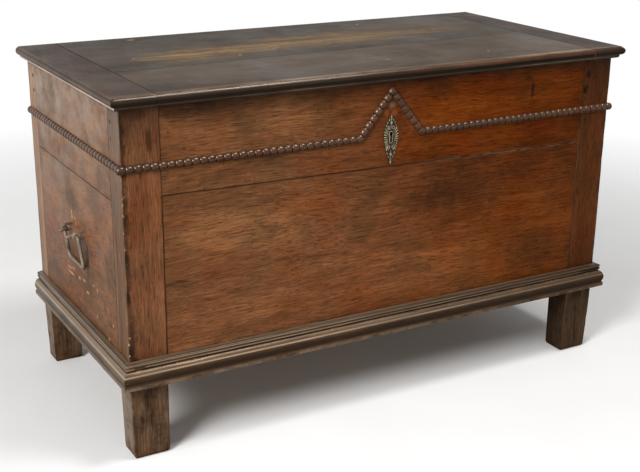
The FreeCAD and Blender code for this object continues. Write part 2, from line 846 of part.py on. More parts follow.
def lock_plate():
    """Plate on the inside of the rail with a flange let into the rail's top edge."""
    top = carcase_height - lock_top_gap
    plate = box(gable_centre - lock_half_width, gable_centre + lock_half_width, rail_inside,
                rail_inside + lock_plate_thickness, lock_plate_low, top)
    plate = joined(plate, lock_flange())
    half = catch_width / 2 + catch_slot_clearance
    slot = box(catch_x - half, catch_x + half, rail_inside - lock_recess_depth, rail_inside,
               top - lock_plate_thickness, top)
    return plate.cut([slot] + lock_nails()).Solids[0]


def bolt_start():
    return catch_x + catch_width / 2 + bolt_rest_gap


def lock_bolt():
    """Sliding bolt drawn back from the catch, with the notch that the key works in."""
    x = bolt_start()
    front = bolt_y - bolt_thickness / 2
    rear = bolt_y + bolt_thickness / 2
    low = bolt_z - bolt_height / 2
    half = talon_width / 2
    bar = box(x, x + bolt_length, front, rear, low, low + bolt_height)
    return bar.cut(box(gable_centre - half, gable_centre + half, front, rear, low, low + talon_depth))


def bolt_guides():
    """Two loops riveted to the plate that the bolt slides through."""
    inner_y = bolt_y - bolt_thickness / 2 - bolt_clearance
    low = bolt_z - bolt_height / 2 - bolt_clearance
    high = bolt_z + bolt_height / 2 + bolt_clearance
    loops = []
    for offset in (first_guide, first_guide + guide_spread):
        x0 = gable_centre + offset - guide_width / 2
        x1 = x0 + guide_width
        loop = box(x0, x1, inner_y - guide_wall, rail_inside, low - guide_wall, high + guide_wall)
        loops.append(loop.cut(box(x0, x1, inner_y, rail_inside, low, high)))
    return loops


def lock_spring():
    """Bent leaf on the plate that keeps the bolt down at the middle of its length."""
    x = gable_centre + first_guide + guide_spread / 2
    half = spring_span / 2
    low = bolt_z + bolt_height / 2 + bolt_clearance
    high = low + spring_rise
    outline = face(along_y(bolt_y), (x - half, high), ((x, low), (x + half, high)),
                   (x + half, high + spring_thickness),
                   ((x, low + spring_thickness), (x - half, high + spring_thickness)))
    return outline.extrude(Vector(0, rail_inside - bolt_y, 0))


def key_pin():
    length = lock_recess_depth + key_pin_reach
    return Part.makeCylinder(key_pin_diameter / 2, length, Vector(gable_centre, rail_inside, keyhole_height),
                             Vector(0, -1, 0))


def catch_rivets():
    xs = (catch_x - catch_rivet_spread / 2, catch_x + catch_rivet_spread / 2)
    places = [Vector(x, bolt_y, carcase_height) for x in xs]
    return [peg(place, Vector(0, 0, 1), catch_rivet_width, catch_rivet_length) for place in places]


def catch_plate():
    half_x = catch_plate_length / 2
    half_y = catch_plate_width / 2
    return box(catch_x - half_x, catch_x + half_x, bolt_y - half_y, bolt_y + half_y, carcase_height,
               carcase_height + catch_plate_thickness)


def lock_staple():
    """Plate let into the lid with a loop that drops into the lock for the bolt to pass through."""
    inner = bolt_thickness / 2 + catch_clearance
    outer = inner + catch_wall
    low = bolt_z - bolt_height / 2 - catch_clearance - catch_wall
    high = bolt_z + bolt_height / 2 + catch_clearance
    x = catch_x - catch_width / 2
    loop = box(x, x + catch_width, bolt_y - outer, bolt_y + outer, low, carcase_height)
    loop = loop.cut(box(x, x + catch_width, bolt_y - inner, bolt_y + inner, low + catch_wall, high))
    return joined(catch_plate(), loop).cut(catch_rivets()).Solids[0]


# Every piece by its name
def pair(name, shape):
    return {name + "_left": shape, name + "_right": mirrored(shape)}


def group(solids):
    return Part.makeCompound(solids)


def pieces():
    pegs = [p for side in sides.values() for p in side_pegs(side)]
    made = {}
    corners = {"front_left": (-1, -1), "front_right": (1, -1), "rear_left": (-1, 1), "rear_right": (1, 1)}
    for name, (x_sign, y_sign) in corners.items():
        cuts = [c for side in sides.values() for c in post_cuts(side)]
        made["post_" + name] = post(x_sign, y_sign, cuts + pegs)
    eyes = handle_eyes()
    far_eyes = [mirrored(eye) for eye in eyes]
    extra = {"front_top_rail": lock_bed(), "left_panel": eyes, "right_panel": far_eyes,
             "back_top_rail": both_sides([strap_notch()] + leaf_nails())}
    for name, side in sides.items():
        for kind, make in (("top_rail", top_rail), ("bottom_rail", bottom_rail), ("panel", panel)):
            key = name + "_" + kind
            made[key] = placed(make(side), side).cut(pegs + extra.get(key, [])).Solids[0]
    for index in range(floor_board_count):
        made["floor_board_%d" % (index + 1)] = floor_board(index)
    made["tenon_pegs"] = group(pegs)
    made["base_moulding_front"] = base_moulding(sides["front"], True, True)
    made["base_moulding_left"] = base_moulding(sides["left"], False, True)
    made["base_moulding_right"] = base_moulding(sides["right"], True, False)
    bead_names = ("bead_front_left", "bead_gable_left", "bead_gable_right", "bead_front_right")
    made.update(zip(bead_names, front_beads()))
    made["bead_side_left"] = side_beads(sides["left"])
    made["bead_side_right"] = side_beads(sides["right"])
    made["escutcheon"] = escutcheon()
    made["escutcheon_pins"] = group(escutcheon_pins())
    made["lock_plate"] = lock_plate()
    made["lock_bolt"] = lock_bolt()
    made["lock_bolt_guides"] = group(bolt_guides())
    made["lock_spring"] = lock_spring()
    made["lock_key_pin"] = key_pin()
    made["lock_nails"] = group(lock_nails())
    made["lock_staple"] = lock_staple()
    made["lock_staple_rivets"] = group(catch_rivets())
    made["left_handle_eyes"] = group(eyes)
    made["right_handle_eyes"] = group(far_eyes)
    made["left_handle_bail"] = bail()
    made["right_handle_bail"] = mirrored(bail())
    made.update(pair("hinge_leaf", hinge_leaf()))
    made.update(pair("hinge_pin", hinge_pin()))
    made.update(pair("lid_strap", lid_strap()))
    made["hinge_nails"] = group(both_sides(leaf_nails()))
    made["strap_nails"] = group(both_sides(strap_nails()))
    made["lid_front_board"] = lid_board(True).cut([catch_plate()] + catch_rivets()).Solids[0]
    made["lid_rear_board"] = lid_board(False).cut(both_sides(strap_nails())).Solids[0]
    made.update(pair("lid_end", lid_end()))
    made["lid_pegs"] = group(lid_pegs())
    return made


os.makedirs("parts", exist_ok=True)
for node, shape in pieces().items():
    shape.exportStep("parts/%s.step" % node)
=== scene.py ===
import json
import math
import random

import bmesh
import bpy
import numpy as np
from mathutils import Matrix, Vector, noise
from mathutils.geometry import delaunay_2d_cdt

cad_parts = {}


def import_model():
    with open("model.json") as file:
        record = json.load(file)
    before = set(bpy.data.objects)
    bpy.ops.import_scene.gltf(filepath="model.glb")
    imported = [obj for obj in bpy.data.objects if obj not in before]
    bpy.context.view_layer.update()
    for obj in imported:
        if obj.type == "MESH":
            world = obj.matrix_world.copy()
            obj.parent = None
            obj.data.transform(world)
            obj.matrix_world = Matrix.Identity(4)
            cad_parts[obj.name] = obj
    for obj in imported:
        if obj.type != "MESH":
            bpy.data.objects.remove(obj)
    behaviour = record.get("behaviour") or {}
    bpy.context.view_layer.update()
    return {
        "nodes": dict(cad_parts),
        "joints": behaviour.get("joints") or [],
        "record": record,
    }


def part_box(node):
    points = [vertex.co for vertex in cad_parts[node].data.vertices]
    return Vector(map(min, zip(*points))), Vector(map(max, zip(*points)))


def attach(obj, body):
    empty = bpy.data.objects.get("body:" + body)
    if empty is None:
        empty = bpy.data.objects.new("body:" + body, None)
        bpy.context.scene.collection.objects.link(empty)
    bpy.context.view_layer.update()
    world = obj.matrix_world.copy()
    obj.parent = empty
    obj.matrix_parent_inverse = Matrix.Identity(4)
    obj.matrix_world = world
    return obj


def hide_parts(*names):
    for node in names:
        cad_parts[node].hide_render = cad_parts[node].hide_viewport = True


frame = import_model()
nodes = frame["nodes"]

MM = 0.001
AXES = "xyz"


# Places read from the frame
def around(names):
    """Lowest and highest corner of several nodes together."""
    corners = [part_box(name) for name in names]
    low = Vector(min(c[0][k] for c in corners) for k in range(3))
    high = Vector(max(c[1][k] for c in corners) for k in range(3))
    return low, high


POSTS = ["post_front_left", "post_front_right", "post_rear_left", "post_rear_right"]
LID_BOARDS = ["lid_front_board", "lid_rear_board", "lid_end_left", "lid_end_right"]
BASES = ["base_moulding_front", "base_moulding_left", "base_moulding_right"]
FLOOR_BOARDS = ["floor_board_%d" % k for k in range(1, 7)]
PEGS = ["tenon_pegs", "lid_pegs"]
FORGED = ["left_handle_eyes", "right_handle_eyes", "hinge_leaf_left", "hinge_leaf_right", "lid_strap_left",
          "lid_strap_right", "lock_plate", "lock_staple"]
SIDES = {"front": "x", "back": "x", "left": "y", "right": "y"}
SIDE_PIECES = ("top_rail", "bottom_rail", "panel")
INWARD = {"front": ("y", 1), "back": ("y", -1), "left": ("x", 1), "right": ("x", -1)}
SLOTS = {part["node"]: part["material_slot"] for part in frame["record"]["subparts"]}
BODIES = {}
for body, members in frame["record"]["behaviour"]["bodies"].items():
    BODIES.update(dict.fromkeys(members, body))

carcase_low, carcase_high = around(POSTS)
lid_low, lid_high = around(LID_BOARDS)
base_low = around(BASES)[0]
front_y = carcase_low.y
bead_low, bead_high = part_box("bead_side_left")
bead_mid = (bead_low.z + bead_high.z) / 2
bead_radius = (bead_high.z - bead_low.z) / 2


# Shader graphs
class Tree:
    """Node tree with short calls for the nodes that finishes and light are made of."""

    def __init__(self, tree):
        self.nodes = tree.nodes
        self.links = tree.links

    def put(self, socket, value):
        if isinstance(value, bpy.types.NodeSocket):
            self.links.new(value, socket)
        else:
            socket.default_value = value

    def add(self, kind, inputs, output=0, **settings):
        """New node with these settings and inputs, as the socket that it gives."""
        node = self.nodes.new("ShaderNode" + kind)
        for name, value in settings.items():
            setattr(node, name, value)
        for key, value in inputs.items():
            self.put(node.inputs[key], value)
        return node.outputs[output]

    def math(self, operation, first, second=0.0):
        return self.add("Math", {0: first, 1: second}, operation=operation)

    def product(self, first, *others):
        for other in others:
            first = self.math("MULTIPLY", first, other)
        return first

    def total(self, first, *others):
        for other in others:
            first = self.math("ADD", first, other)
        return first

    def vector(self, operation, first, second):
        return self.add("VectorMath", {0: first, 1: second}, operation=operation)

    def parts(self, vector):
        split = self.add("SeparateXYZ", {0: vector}).node
        return dict(zip(AXES, split.outputs))

    def noise(self, vector, scale=1.0, detail=4.0, roughness=0.55, output="Fac"):
        inputs = {"Vector": vector, "Scale": scale, "Detail": detail, "Roughness": roughness}
        return self.add("TexNoise", inputs, output)

    def spread(self, value, low, high, start=0.0, end=1.0):
        """Value between low and high mapped to start and end, and held there outside."""
        inputs = {"Value": value, "From Min": low, "From Max": high, "To Min": start, "To Max": end}
        return self.add("MapRange", inputs, "Result")

    def band(self, value, low, high, soft):
        """1 between low and high, and 0 further than soft outside them."""
        rise = self.spread(value, low - soft, low)
        fall = self.spread(value, high, high + soft, 1.0, 0.0)
        return self.product(rise, fall)

    def ramp(self, value, places, colours):
        colour = self.add("ValToRGB", {"Fac": value}, "Color")
        elements = colour.node.color_ramp.elements
        while len(elements) < len(places):
            elements.new(1.0)
        for element, place, tone in zip(elements, places, colours):
            element.position = place
            element.color = (*tone, 1.0)
        return colour

    def mix(self, share, first, second, blend="MIX"):
        """Two colours mixed, the second one by its share."""
        pair = [c if isinstance(c, bpy.types.NodeSocket) else (*c, 1.0) for c in (first, second)]
        return self.add("Mix", {0: share, 6: pair[0], 7: pair[1]}, 2, data_type="RGBA", blend_type=blend)

    def blend(self, share, first, second):
        """Two numbers mixed, the second one by its share."""
        return self.add("Mix", {0: share, 2: first, 3: second})

    def attribute(self, name):
        return self.add("Attribute", {}, "Fac", attribute_name=name)


class Graph(Tree):
    """Node tree of one finish, with its shader, the place of a point and the way that it faces."""

    def __init__(self, name, metallic=0.0):
        self.material = bpy.data.materials.new(name)
        self.material.use_nodes = True
        super().__init__(self.material.node_tree)
        self.nodes.clear()
        self.surface = self.nodes.new("ShaderNodeOutputMaterial").inputs["Surface"]
        self.shader = self.nodes.new("ShaderNodeBsdfPrincipled")
        self.shader.inputs["Metallic"].default_value = metallic
        self.put(self.surface, self.shader.outputs["BSDF"])
        coordinates = self.nodes.new("ShaderNodeTexCoord").outputs
        self.place = coordinates["Object"]
        self.xyz = self.parts(self.place)
        self.facing = self.parts(coordinates["Normal"])

    def sideways(self, low, high):
        """1 on faces that look to the left or the right."""
        return self.spread(self.math("ABSOLUTE", self.facing["x"]), low, high)

    def finish(self, colour, roughness, height, depth):
        bump = self.add("Bump", {"Strength": 1.0, "Distance": depth, "Height": height}, "Normal")
        for name, value in (("Base Color", colour), ("Roughness", roughness), ("Normal", bump)):
            self.put(self.shader.inputs[name], value)
        return self.material


# Finishes, colours in linear light
FRONT_TONES = ((0.054, 0.019, 0.008), (0.176, 0.069, 0.026), (0.33, 0.143, 0.056))
POST_TONES = ((0.046, 0.017, 0.008), (0.152, 0.06, 0.025), (0.27, 0.114, 0.051))
SIDE_TONES = ((0.054, 0.02, 0.006), (0.184, 0.076, 0.028), (0.33, 0.15, 0.06))
FLANK_TONES = ((0.03, 0.012, 0.004), (0.098, 0.045, 0.019), (0.175, 0.087, 0.039))
LID_TONES = ((0.011, 0.007, 0.004), (0.046, 0.028, 0.015), (0.09, 0.056, 0.03))
REAR_TONES = ((0.008, 0.005, 0.003), (0.032, 0.02, 0.011), (0.062, 0.039, 0.021))
END_TONES = ((0.008, 0.005, 0.003), (0.032, 0.018, 0.011), (0.062, 0.036, 0.022))
NOSE_TONES = ((0.006, 0.004, 0.002), (0.016, 0.01, 0.006), (0.034, 0.021, 0.013))
BASE_TONES = ((0.01, 0.005, 0.003), (0.038, 0.02, 0.01), (0.09, 0.05, 0.026))
BEAD_TONES = ((0.018, 0.008, 0.004), (0.062, 0.027, 0.013), (0.12, 0.057, 0.029))
FOOT_TONES = ((0.023, 0.012, 0.006), (0.079, 0.044, 0.023), (0.145, 0.086, 0.047))
BARE_TONES = ((0.11, 0.065, 0.034), (0.2, 0.125, 0.068), (0.3, 0.2, 0.115))
WORN_TONES = ((0.075, 0.044, 0.02), (0.165, 0.1, 0.043), (0.27, 0.168, 0.075))
IRON_TONES = ((0.07, 0.052, 0.037), (0.2, 0.154, 0.112), (0.36, 0.274, 0.196))
BRASS_TONES = ((0.17, 0.135, 0.08), (0.38, 0.315, 0.2), (0.6, 0.52, 0.36))
# Darkest tone: dirt, and painted shade where a finish puts it
GRIME_AND_SHADE = (0.012, 0.007, 0.004)
# Tone of the base's painted shade, and of the dirt in its hollows
BASE_DIRT_AND_SHADE = (0.024, 0.014, 0.008)
IRON_GRIME = (0.035, 0.022, 0.014)
BRASS_GRIME = (0.02, 0.014, 0.008)
CHIP = (0.5, 0.32, 0.15)
RUBBED = (0.2, 0.085, 0.035)
# Painted reflection: the grey sheen of faces that look to the side
REFLECTION_HAZE = (0.3, 0.24, 0.19)
# Tone of dust, and of the painted highlights on the lid's front edge and the base's upper faces
DUST_AND_SHEEN = (0.2, 0.145, 0.095)
# Painted highlight on the crowns of the base moulding
SHEEN = (0.38, 0.275, 0.18)
# Painted highlight on the fillet under the lid's ends
FILLET_HIGHLIGHT_TONE = (0.52, 0.43, 0.36)
NOSE_BROWN = (0.13, 0.08, 0.055)
NOSE_RED = (0.12, 0.046, 0.022)
RED_STAIN = (0.24, 0.06, 0.018)

# Tints that multiply a tone or a highlight
REDDER = (1.0, 0.76, 0.55)
OLIVE = (0.72, 0.82, 0.85)
WARM = (1.0, 0.82, 0.68)
BASE_WARM = (1.0, 0.74, 0.56)
# Painted shade that makes the rail, the panel and the posts darker and redder towards the right
RAIL_RIGHT_SHADE = (0.66, 0.36, 0.09)
PANEL_RIGHT_SHADE = (0.65, 0.42, 0.18)
POST_RIGHT_SHADE = (0.46, 0.34, 0.18)


def stretch(grain, along, across):
    return tuple(along if axis == grain else across for axis in AXES)


class Wood:
    """Sawn and polished wood with its grain along one axis: the layers that each finish mixes."""

    def __init__(self, name, tones, grain, seed, specular=0.15):
        g = self.graph = Graph(name)
        g.shader.inputs["Specular IOR Level"].default_value = specular
        rng = random.Random(seed)
        own = tuple(rng.uniform(-40, 40) for _ in AXES)
        self.at = g.vector("ADD", g.place, own)
        sway = g.vector("SUBTRACT", g.noise(self.at, 3.0, 3.0, output="Color"), (0.5, 0.5, 0.5))
        bent = g.vector("ADD", self.at, g.vector("MULTIPLY", sway, stretch(grain, 0.0, 0.045)))

        def drawn(along, across, detail, roughness=0.6):
            return g.noise(g.vector("MULTIPLY", bent, stretch(grain, along, across)), 1.0, detail, roughness)

        broad = drawn(1.5, 6.0, 4.0)
        self.figure = drawn(5.0, 40.0, 4.0)
        self.streak = drawn(12.0, 280.0, 3.0)
        self.fibre = drawn(26.0, 760.0, 3.0)
        pores = drawn(32.0, 560.0, 2.0, 0.5)
        specks = g.noise(self.at, 95.0, 4.0, 0.6)
        hue = g.noise(self.at, 9.0, 6.0, 0.62)
        self.patina = g.noise(self.at, 5.0, 8.0, 0.62)
        value = self.layered(0.28, 0.72, (broad, 0.3), (self.figure, 0.2), (self.streak, 0.28),
                             (self.fibre, 0.22))
        self.colour = g.ramp(value, (0.15, 0.5, 0.85), tones)
        self.tinted(REDDER, g.spread(hue, 0.5, 0.66, 0.0, 0.7), blend="MULTIPLY")
        self.tinted(OLIVE, g.spread(hue, 0.36, 0.48, 0.8, 0.0), blend="MULTIPLY")
        self.darken(g.spread(pores, 0.54, 0.66, 0.0, 0.55))
        self.darken(g.spread(self.patina, 0.5, 0.72, 0.0, 0.3))
        self.darken(g.spread(specks, 0.62, 0.74, 0.0, 0.65))
        self.roughness = g.spread(g.total(self.patina, g.product(self.streak, 0.5)), 0.55, 0.95, 0.36, 0.58)
        self.height = g.total(g.product(self.fibre, 0.35), g.product(self.streak, 0.5),
                              g.product(pores, -0.5), g.product(specks, -0.3))
        self.depth = 0.6 * MM

    def layered(self, low, high, *layers):
        """Sum of noises, each spread from low to high and taken by its share."""
        g = self.graph
        return g.total(*(g.product(g.spread(layer, low, high), share) for layer, share in layers))

    def gloss(self, *shares):
        self.graph.put(self.graph.shader.inputs["Specular IOR Level"], self.graph.product(*shares))

    def warm_gloss(self, tint=WARM):
        self.graph.shader.inputs["Specular Tint"].default_value = (*tint, 1.0)

    def tinted(self, tone, *shares, blend="MIX"):
        """Bring in a tone by the product of its shares."""
        self.colour = self.graph.mix(self.graph.product(*shares), self.colour, tone, blend)

    def darken(self, *shares):
        self.tinted(GRIME_AND_SHADE, *shares)

    def uneven(self, start, end, low=0.35, high=0.6):
        """Share that follows the patina from start, where it is thin, to end."""
        return self.graph.spread(self.patina, low, high, start, end)

    def cloud(self, scale, low, high, start=0.0, end=1.0, detail=4.0, roughness=0.55):
        """Share that follows patches of a noise of its own, with so many to the metre."""
        return self.graph.spread(self.graph.noise(self.at, scale, detail, roughness), low, high, start, end)

    def worn(self, chipped=0.3, rubbed=0.35, seam=0.9):
        """Rubbed and chipped arrises, and dirt in the seams, from the piece's own attributes; on the beads
        the seams are their waists, darkened by dirt and painted shade.
        """
        g = self.graph
        edge = g.attribute("arris")
        self.tinted(RUBBED, edge, self.cloud(16.0, 0.42, 0.62), rubbed)
        self.tinted(CHIP, g.spread(edge, 0.45, 0.85), self.cloud(130.0, 0.6, 0.66), chipped)
        packed = self.cloud(14.0, 0.36, 0.6, 0.45, 1.0)
        dirt = g.product(g.spread(g.attribute("seam"), 0.2, 0.9), packed, seam)
        self.darken(dirt)
        self.roughness = g.blend(dirt, self.roughness, 0.8)

    def blended(self, tones, roughness, *shares):
        """Another tone of the same wood where its shares are 1, such as a bare or worn stretch."""
        g = self.graph
        share = g.product(*shares)
        value = self.layered(0.3, 0.7, (self.figure, 0.4), (self.streak, 0.35), (self.fibre, 0.25))
        self.tinted(g.ramp(value, (0.2, 0.5, 0.8), tones), share)
        self.roughness = g.blend(share, self.roughness, roughness)

    def border_dirt_and_shade(self, name, axes, reach, depth):
        """Old polish and dirt that have gathered along the borders of a piece, and painted shade where it
        meets its neighbours.
        """
        g = self.graph
        low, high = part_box(name)
        gap = 1.0
        for axis in axes:
            k = AXES.index(axis)
            gap = g.math("MINIMUM", gap, g.math("SUBTRACT", g.xyz[axis], low[k]))
            gap = g.math("MINIMUM", gap, g.math("SUBTRACT", high[k], g.xyz[axis]))
        self.darken(g.spread(gap, 0.0, reach, depth, 0.0), self.uneven(0.35, 1.0, 0.3))

    def spot(self, axes, centre, size, raggedness=0.6):
        """Share of a ragged oval in the plane of two axes, in millimetres, 1 in its middle."""
        g = self.graph
        squares = []
        for axis, middle, half in zip(axes, centre, size):
            offset = g.product(g.math("SUBTRACT", g.xyz[axis], middle * MM), 1 / (half * MM))
            squares.append(g.product(offset, offset))
        broken = g.product(g.math("SUBTRACT", g.noise(self.at, 60.0, 5.0, 0.65), 0.5), 4 * raggedness)
        return g.spread(g.total(*squares, broken), 0.1, 1.2, 1.0, 0.0)

    def marked(self, axes, marks, *where, tone=GRIME_AND_SHADE, raggedness=0.6):
        """Marks of one tone, on the faces that the further shares pick out."""
        for centre, size, strength in marks:
            self.tinted(tone, self.spot(axes, centre, size, raggedness), *where, strength)

    def done(self):
        return self.graph.finish(self.colour, self.roughness, self.height, self.depth)


# Marks in millimetres on the front, the left side and the lid: place, half size and strength; those that are
# painted shade are noted beside them
FRONT_STAINS_AND_SHADE = {
    "front_top_rail": [
        ((372, 674), (6, 21), 0.85), ((360, 700), (12, 6), 0.4), ((-450, 712), (80, 12), 0.5),
        # The mark at (-3, 608) is painted shade that blackens the keyhole
        ((120, 700), (50, 20), 0.35), ((-3, 608), (14, 26), 1.0), ((-10, 635), (60, 50), 0.35)],
    "front_panel": [
        ((-300, 500), (60, 25), 0.25), ((280, 430), (20, 6), 0.5), ((50, 300), (90, 30), 0.25),
        ((420, 300), (60, 50), 0.35), ((200, 460), (140, 50), 0.4), ((80, 450), (100, 30), 0.3),
        ((360, 500), (80, 30), 0.3)],
    "post_front_right": [((534, 695), (8, 9), 0.95), ((526, 661), (8, 11), 0.95), ((520, 633), (5, 7), 0.6)],
    "post_front_left": [((-542, 665), (7, 30), 0.6), ((-570, 715), (30, 12), 0.5)],
}
RAIL_DUST = [((0, 677), (11, 9), 0.6)]
RAIL_STAINS = [((-16, 661), (7, 8), 0.55), ((6, 660), (7, 8), 0.55)]
SIDE_STAINS_AND_SHADOWS = [((-126, 502), (60, 50), 0.35), ((17, 582), (50, 20), 0.3), ((30, 470), (60, 30), 0.4),
              # The marks at (-55, 360) and (-10, 375) are the painted shadow of the left handle's bail
              ((-165, 564), (40, 20), 0.3), ((-55, 360), (12, 50), 0.85), ((-10, 375), (35, 30), 0.35),
              ((-50, 400), (40, 20), 0.3)]
LID_WEAR = [((-345, 42), (100, 55), 0.95), ((-280, -10), (140, 50), 0.35), ((-200, 60), (180, 60), 0.65),
            ((50, 80), (300, 90), 0.6), ((250, 120), (240, 100), 0.45)]
LID_CRACK = ((472, 36), (52, 1.6))

# Scratches and nicks: place and half size, all of one strength
SIDE_SCRATCHES = [((35, 442), (3, 7)), ((14.5, 431), (3, 7)), ((7, 422), (3, 6)), ((33, 430), (4, 8)),
                  ((70, 305), (13, 2)), ((42, 310), (10, 2)), ((62, 293.5), (20, 2.5)), ((6, 300), (7, 4)),
                  ((-25, 305), (9, 3)), ((-88, 315), (5, 3)), ((-110, 310), (3, 6)), ((-46, 284), (9, 3)),
                  ((-199, 266), (4, 3)), ((-100, 250), (3, 4)), ((-170, 225), (4, 3))]
LID_NICKS = [((-363, 272), (12, 4)), ((-220, -13), (4, 3)), ((-440, 50), (4, 3)), ((40, -200), (10, 2)),
             ((300, -210), (3, 4)), ((230, 240), (4, 3))]
SCRATCHED = 0.8
NICKED = 0.75


def front_tone(wood, name):
    """Front rail or panel: darker and redder to the right and dark under the lid, both painted shade, with
    its stains.
    """
    g = wood.graph
    start, end, red = (-0.12, 0.25, RAIL_RIGHT_SHADE) if "rail" in name else (-0.1, 0.45, PANEL_RIGHT_SHADE)
    # Painted shade: darker and redder towards the right
    right = g.total(g.xyz["x"], g.product(wood.patina, 0.3))
    wood.tinted(red, g.spread(right, start, end), blend="MULTIPLY")
    # Painted shadow of the lid's overhang along the top of the rail
    level = g.total(g.xyz["z"], g.product(wood.patina, 0.03))
    wood.darken(g.spread(level, carcase_high.z - 16 * MM, carcase_high.z + 12 * MM, 0.0, 0.6))
    wood.marked("xz", FRONT_STAINS_AND_SHADE.get(name, ()))
    if name == "front_top_rail":
        wood.marked("xz", RAIL_DUST, tone=DUST_AND_SHEEN, raggedness=0.9)
        wood.marked("xz", RAIL_STAINS, tone=RED_STAIN, raggedness=0.9)


def side_tone(wood, side):
    """Side or back: clouded, with a painted grey reflection towards its top, and the scratches, stains and
    painted handle shadow of the left side.
    """
    g = wood.graph
    wood.darken(wood.cloud(7.0, 0.5, 0.68, 0.0, 0.4, 7.0, 0.65))
    wood.darken(wood.cloud(48.0, 0.5, 0.64, 0.0, 0.45, 7.0, 0.7))
    # Painted reflection: a grey sheen that grows towards the top and the rear
    level = g.total(g.xyz["z"], g.product(g.xyz["y"], 0.4))
    painted_sheen = g.spread(level, 0.42, 0.74, 0.0, 0.25 if side == "back" else 1.0)
    wood.tinted(REFLECTION_HAZE, painted_sheen, wood.cloud(16.0, 0.36, 0.6, 0.8, 0.2, 8.0, 0.7))
    if side == "left":
        # Stains, and the painted shadow of the handle
        wood.marked("yz", SIDE_STAINS_AND_SHADOWS)
        wood.marked("yz", [(*mark, SCRATCHED) for mark in SIDE_SCRATCHES], tone=CHIP, raggedness=0.9)


def carcase_wood(name, side, grain, seed):
    """Wood of a rail or panel: polished outside and bare on the face that looks into the chest."""
    at_front = side == "front"
    tones = FRONT_TONES if at_front else SIDE_TONES
    wood = Wood(name + "_wood", tones, grain, seed, 0.03 if at_front else 0.12)
    g = wood.graph
    # Darker towards the borders: old polish and dirt, and painted shade
    wood.border_dirt_and_shade(name, (grain, "z"), 70 * MM, 0.4 if at_front else 0.2)
    if at_front:
        front_tone(wood, name)
    else:
        side_tone(wood, side)
    axis, sign = INWARD[side]
    wood.blended(BARE_TONES, 0.75, g.spread(g.product(g.facing[axis], sign), 0.85, 0.95))
    wood.worn(0.0, 0.35, 0.7 if at_front else 0.5)
    if at_front:
        below_beads = g.band(g.xyz["z"], bead_mid - 90 * MM, bead_mid - 40 * MM, 10 * MM)
        wood.tinted(DUST_AND_SHEEN, g.spread(g.attribute("seam"), 0.1, 0.5), g.spread(g.xyz["x"], -0.05, 0.25),
                    below_beads, wood.cloud(40.0, 0.4, 0.6, 0.0, 0.35))
    return wood.done()


def foot_tone(wood):
    """Raw greyed wood of a post below the base moulding, darker to the right, which is painted shade, and
    with a painted reflection on the side faces at the left.
    """
    g = wood.graph
    right = g.xyz["x"]
    level = g.total(g.xyz["z"], g.product(wood.patina, -0.02))
    raw = g.spread(level, base_low.z - 5 * MM, base_low.z + 4 * MM, 1.0, 0.0)
    raw_side = g.product(raw, g.sideways(0.6, 0.8))
    wood.blended(FOOT_TONES, 0.82, raw)
    # Painted reflection on the side faces of the feet at the left
    wood.tinted(REFLECTION_HAZE, raw_side, g.spread(right, -0.3, 0.0, 0.4, 0.0))
    # Painted shade: darker towards the right, most on the side faces
    wood.darken(raw, g.spread(right, 0.0, 0.5, 0.0, 0.34))
    wood.darken(raw_side, g.spread(right, 0.0, 0.5, 0.0, 0.6))
    wood.darken(raw, wood.cloud(30.0, 0.48, 0.62, 0.0, 0.5, 7.0, 0.7))


def post_wood(name, seed):
    """Corner post: dark at its top under the lid and towards the right, both painted shade, with a painted
    grey reflection on its outer flank, bare inside, and raw at its foot.
    """
    wood = Wood(name + "_wood", POST_TONES, "z", seed)
    g = wood.graph
    at_left = "left" in name
    at_front = "front" in name
    ahead = g.spread(g.facing["y"], -0.8, -0.6, 1.0, 0.0)
    flank = g.spread(g.product(g.facing["x"], -1.0 if at_left else 1.0), 0.6, 0.8)
    wood.marked("xz", FRONT_STAINS_AND_SHADE.get(name, ()), ahead)
    level = g.total(g.xyz["z"], g.product(wood.patina, 0.12))
    # Painted shade under the lid at the top of the post
    wood.darken(g.spread(level, 0.66, 0.84, 0.0, 0.75))
    wood.darken(g.spread(level, 0.2, 0.36, 0.5, 0.0))
    wood.blended(FLANK_TONES if at_front else SIDE_TONES, 0.5, flank)
    # Painted reflection on the outer flank, like the side's
    low, sheen_share = (0.0, 0.5) if at_front else (0.5, 0.85)
    wood.tinted(REFLECTION_HAZE, flank, g.spread(level, 0.5, 0.8, low), wood.uneven(sheen_share, 0.4 * sheen_share))
    # Painted shade: darker and redder towards the right
    wood.tinted(POST_RIGHT_SHADE, g.spread(g.xyz["x"], -0.2, 0.5), blend="MULTIPLY")
    wood.blended(FLANK_TONES, 0.6, g.spread(g.facing["y"], 0.6, 0.8))
    for axis, forward in (("x", at_left), ("y", at_front)):
        inward = g.product(g.facing[axis], 1.0 if forward else -1.0)
        wood.blended(BARE_TONES, 0.75, g.spread(inward, 0.85, 0.95))
    if name == "post_front_left":
        ragged = g.product(g.math("SUBTRACT", g.noise(wood.at, 45.0, 6.0, 0.65), 0.5), 0.03)
        strip = g.total(g.xyz["x"], ragged, g.spread(g.xyz["z"], 0.15, 0.34, -0.012, 0.0))
        corner = carcase_low.x
        wood.darken(ahead, g.spread(strip, corner + 4 * MM, corner + 12 * MM, 0.85, 0.0))
        wood.darken(flank, g.spread(level, 0.55, 0.75, 0.0, 0.3))
    foot_tone(wood)
    wood.gloss(g.spread(flank, 0.0, 1.0, 0.04, 0.12))
    wood.darken(g.attribute("arris"), g.spread(g.xyz["z"], 0.25, 0.45, 0.9, 0.65),
                wood.cloud(24.0, 0.36, 0.52, detail=5.0))
    chipped = g.product(g.band(g.xyz["z"], 0.22, 0.58, 0.05), 0.85)
    wood.worn(chipped, 0.4, g.spread(flank, 0.0, 1.0, 0.9, 0.45))
    return wood.done()


# Height of the fillet under the lid's nose, and how far in from the lid's ends its painted highlight reaches
FILLET = 7.5 * MM
FILLET_HIGHLIGHT_REACH = 15 * MM


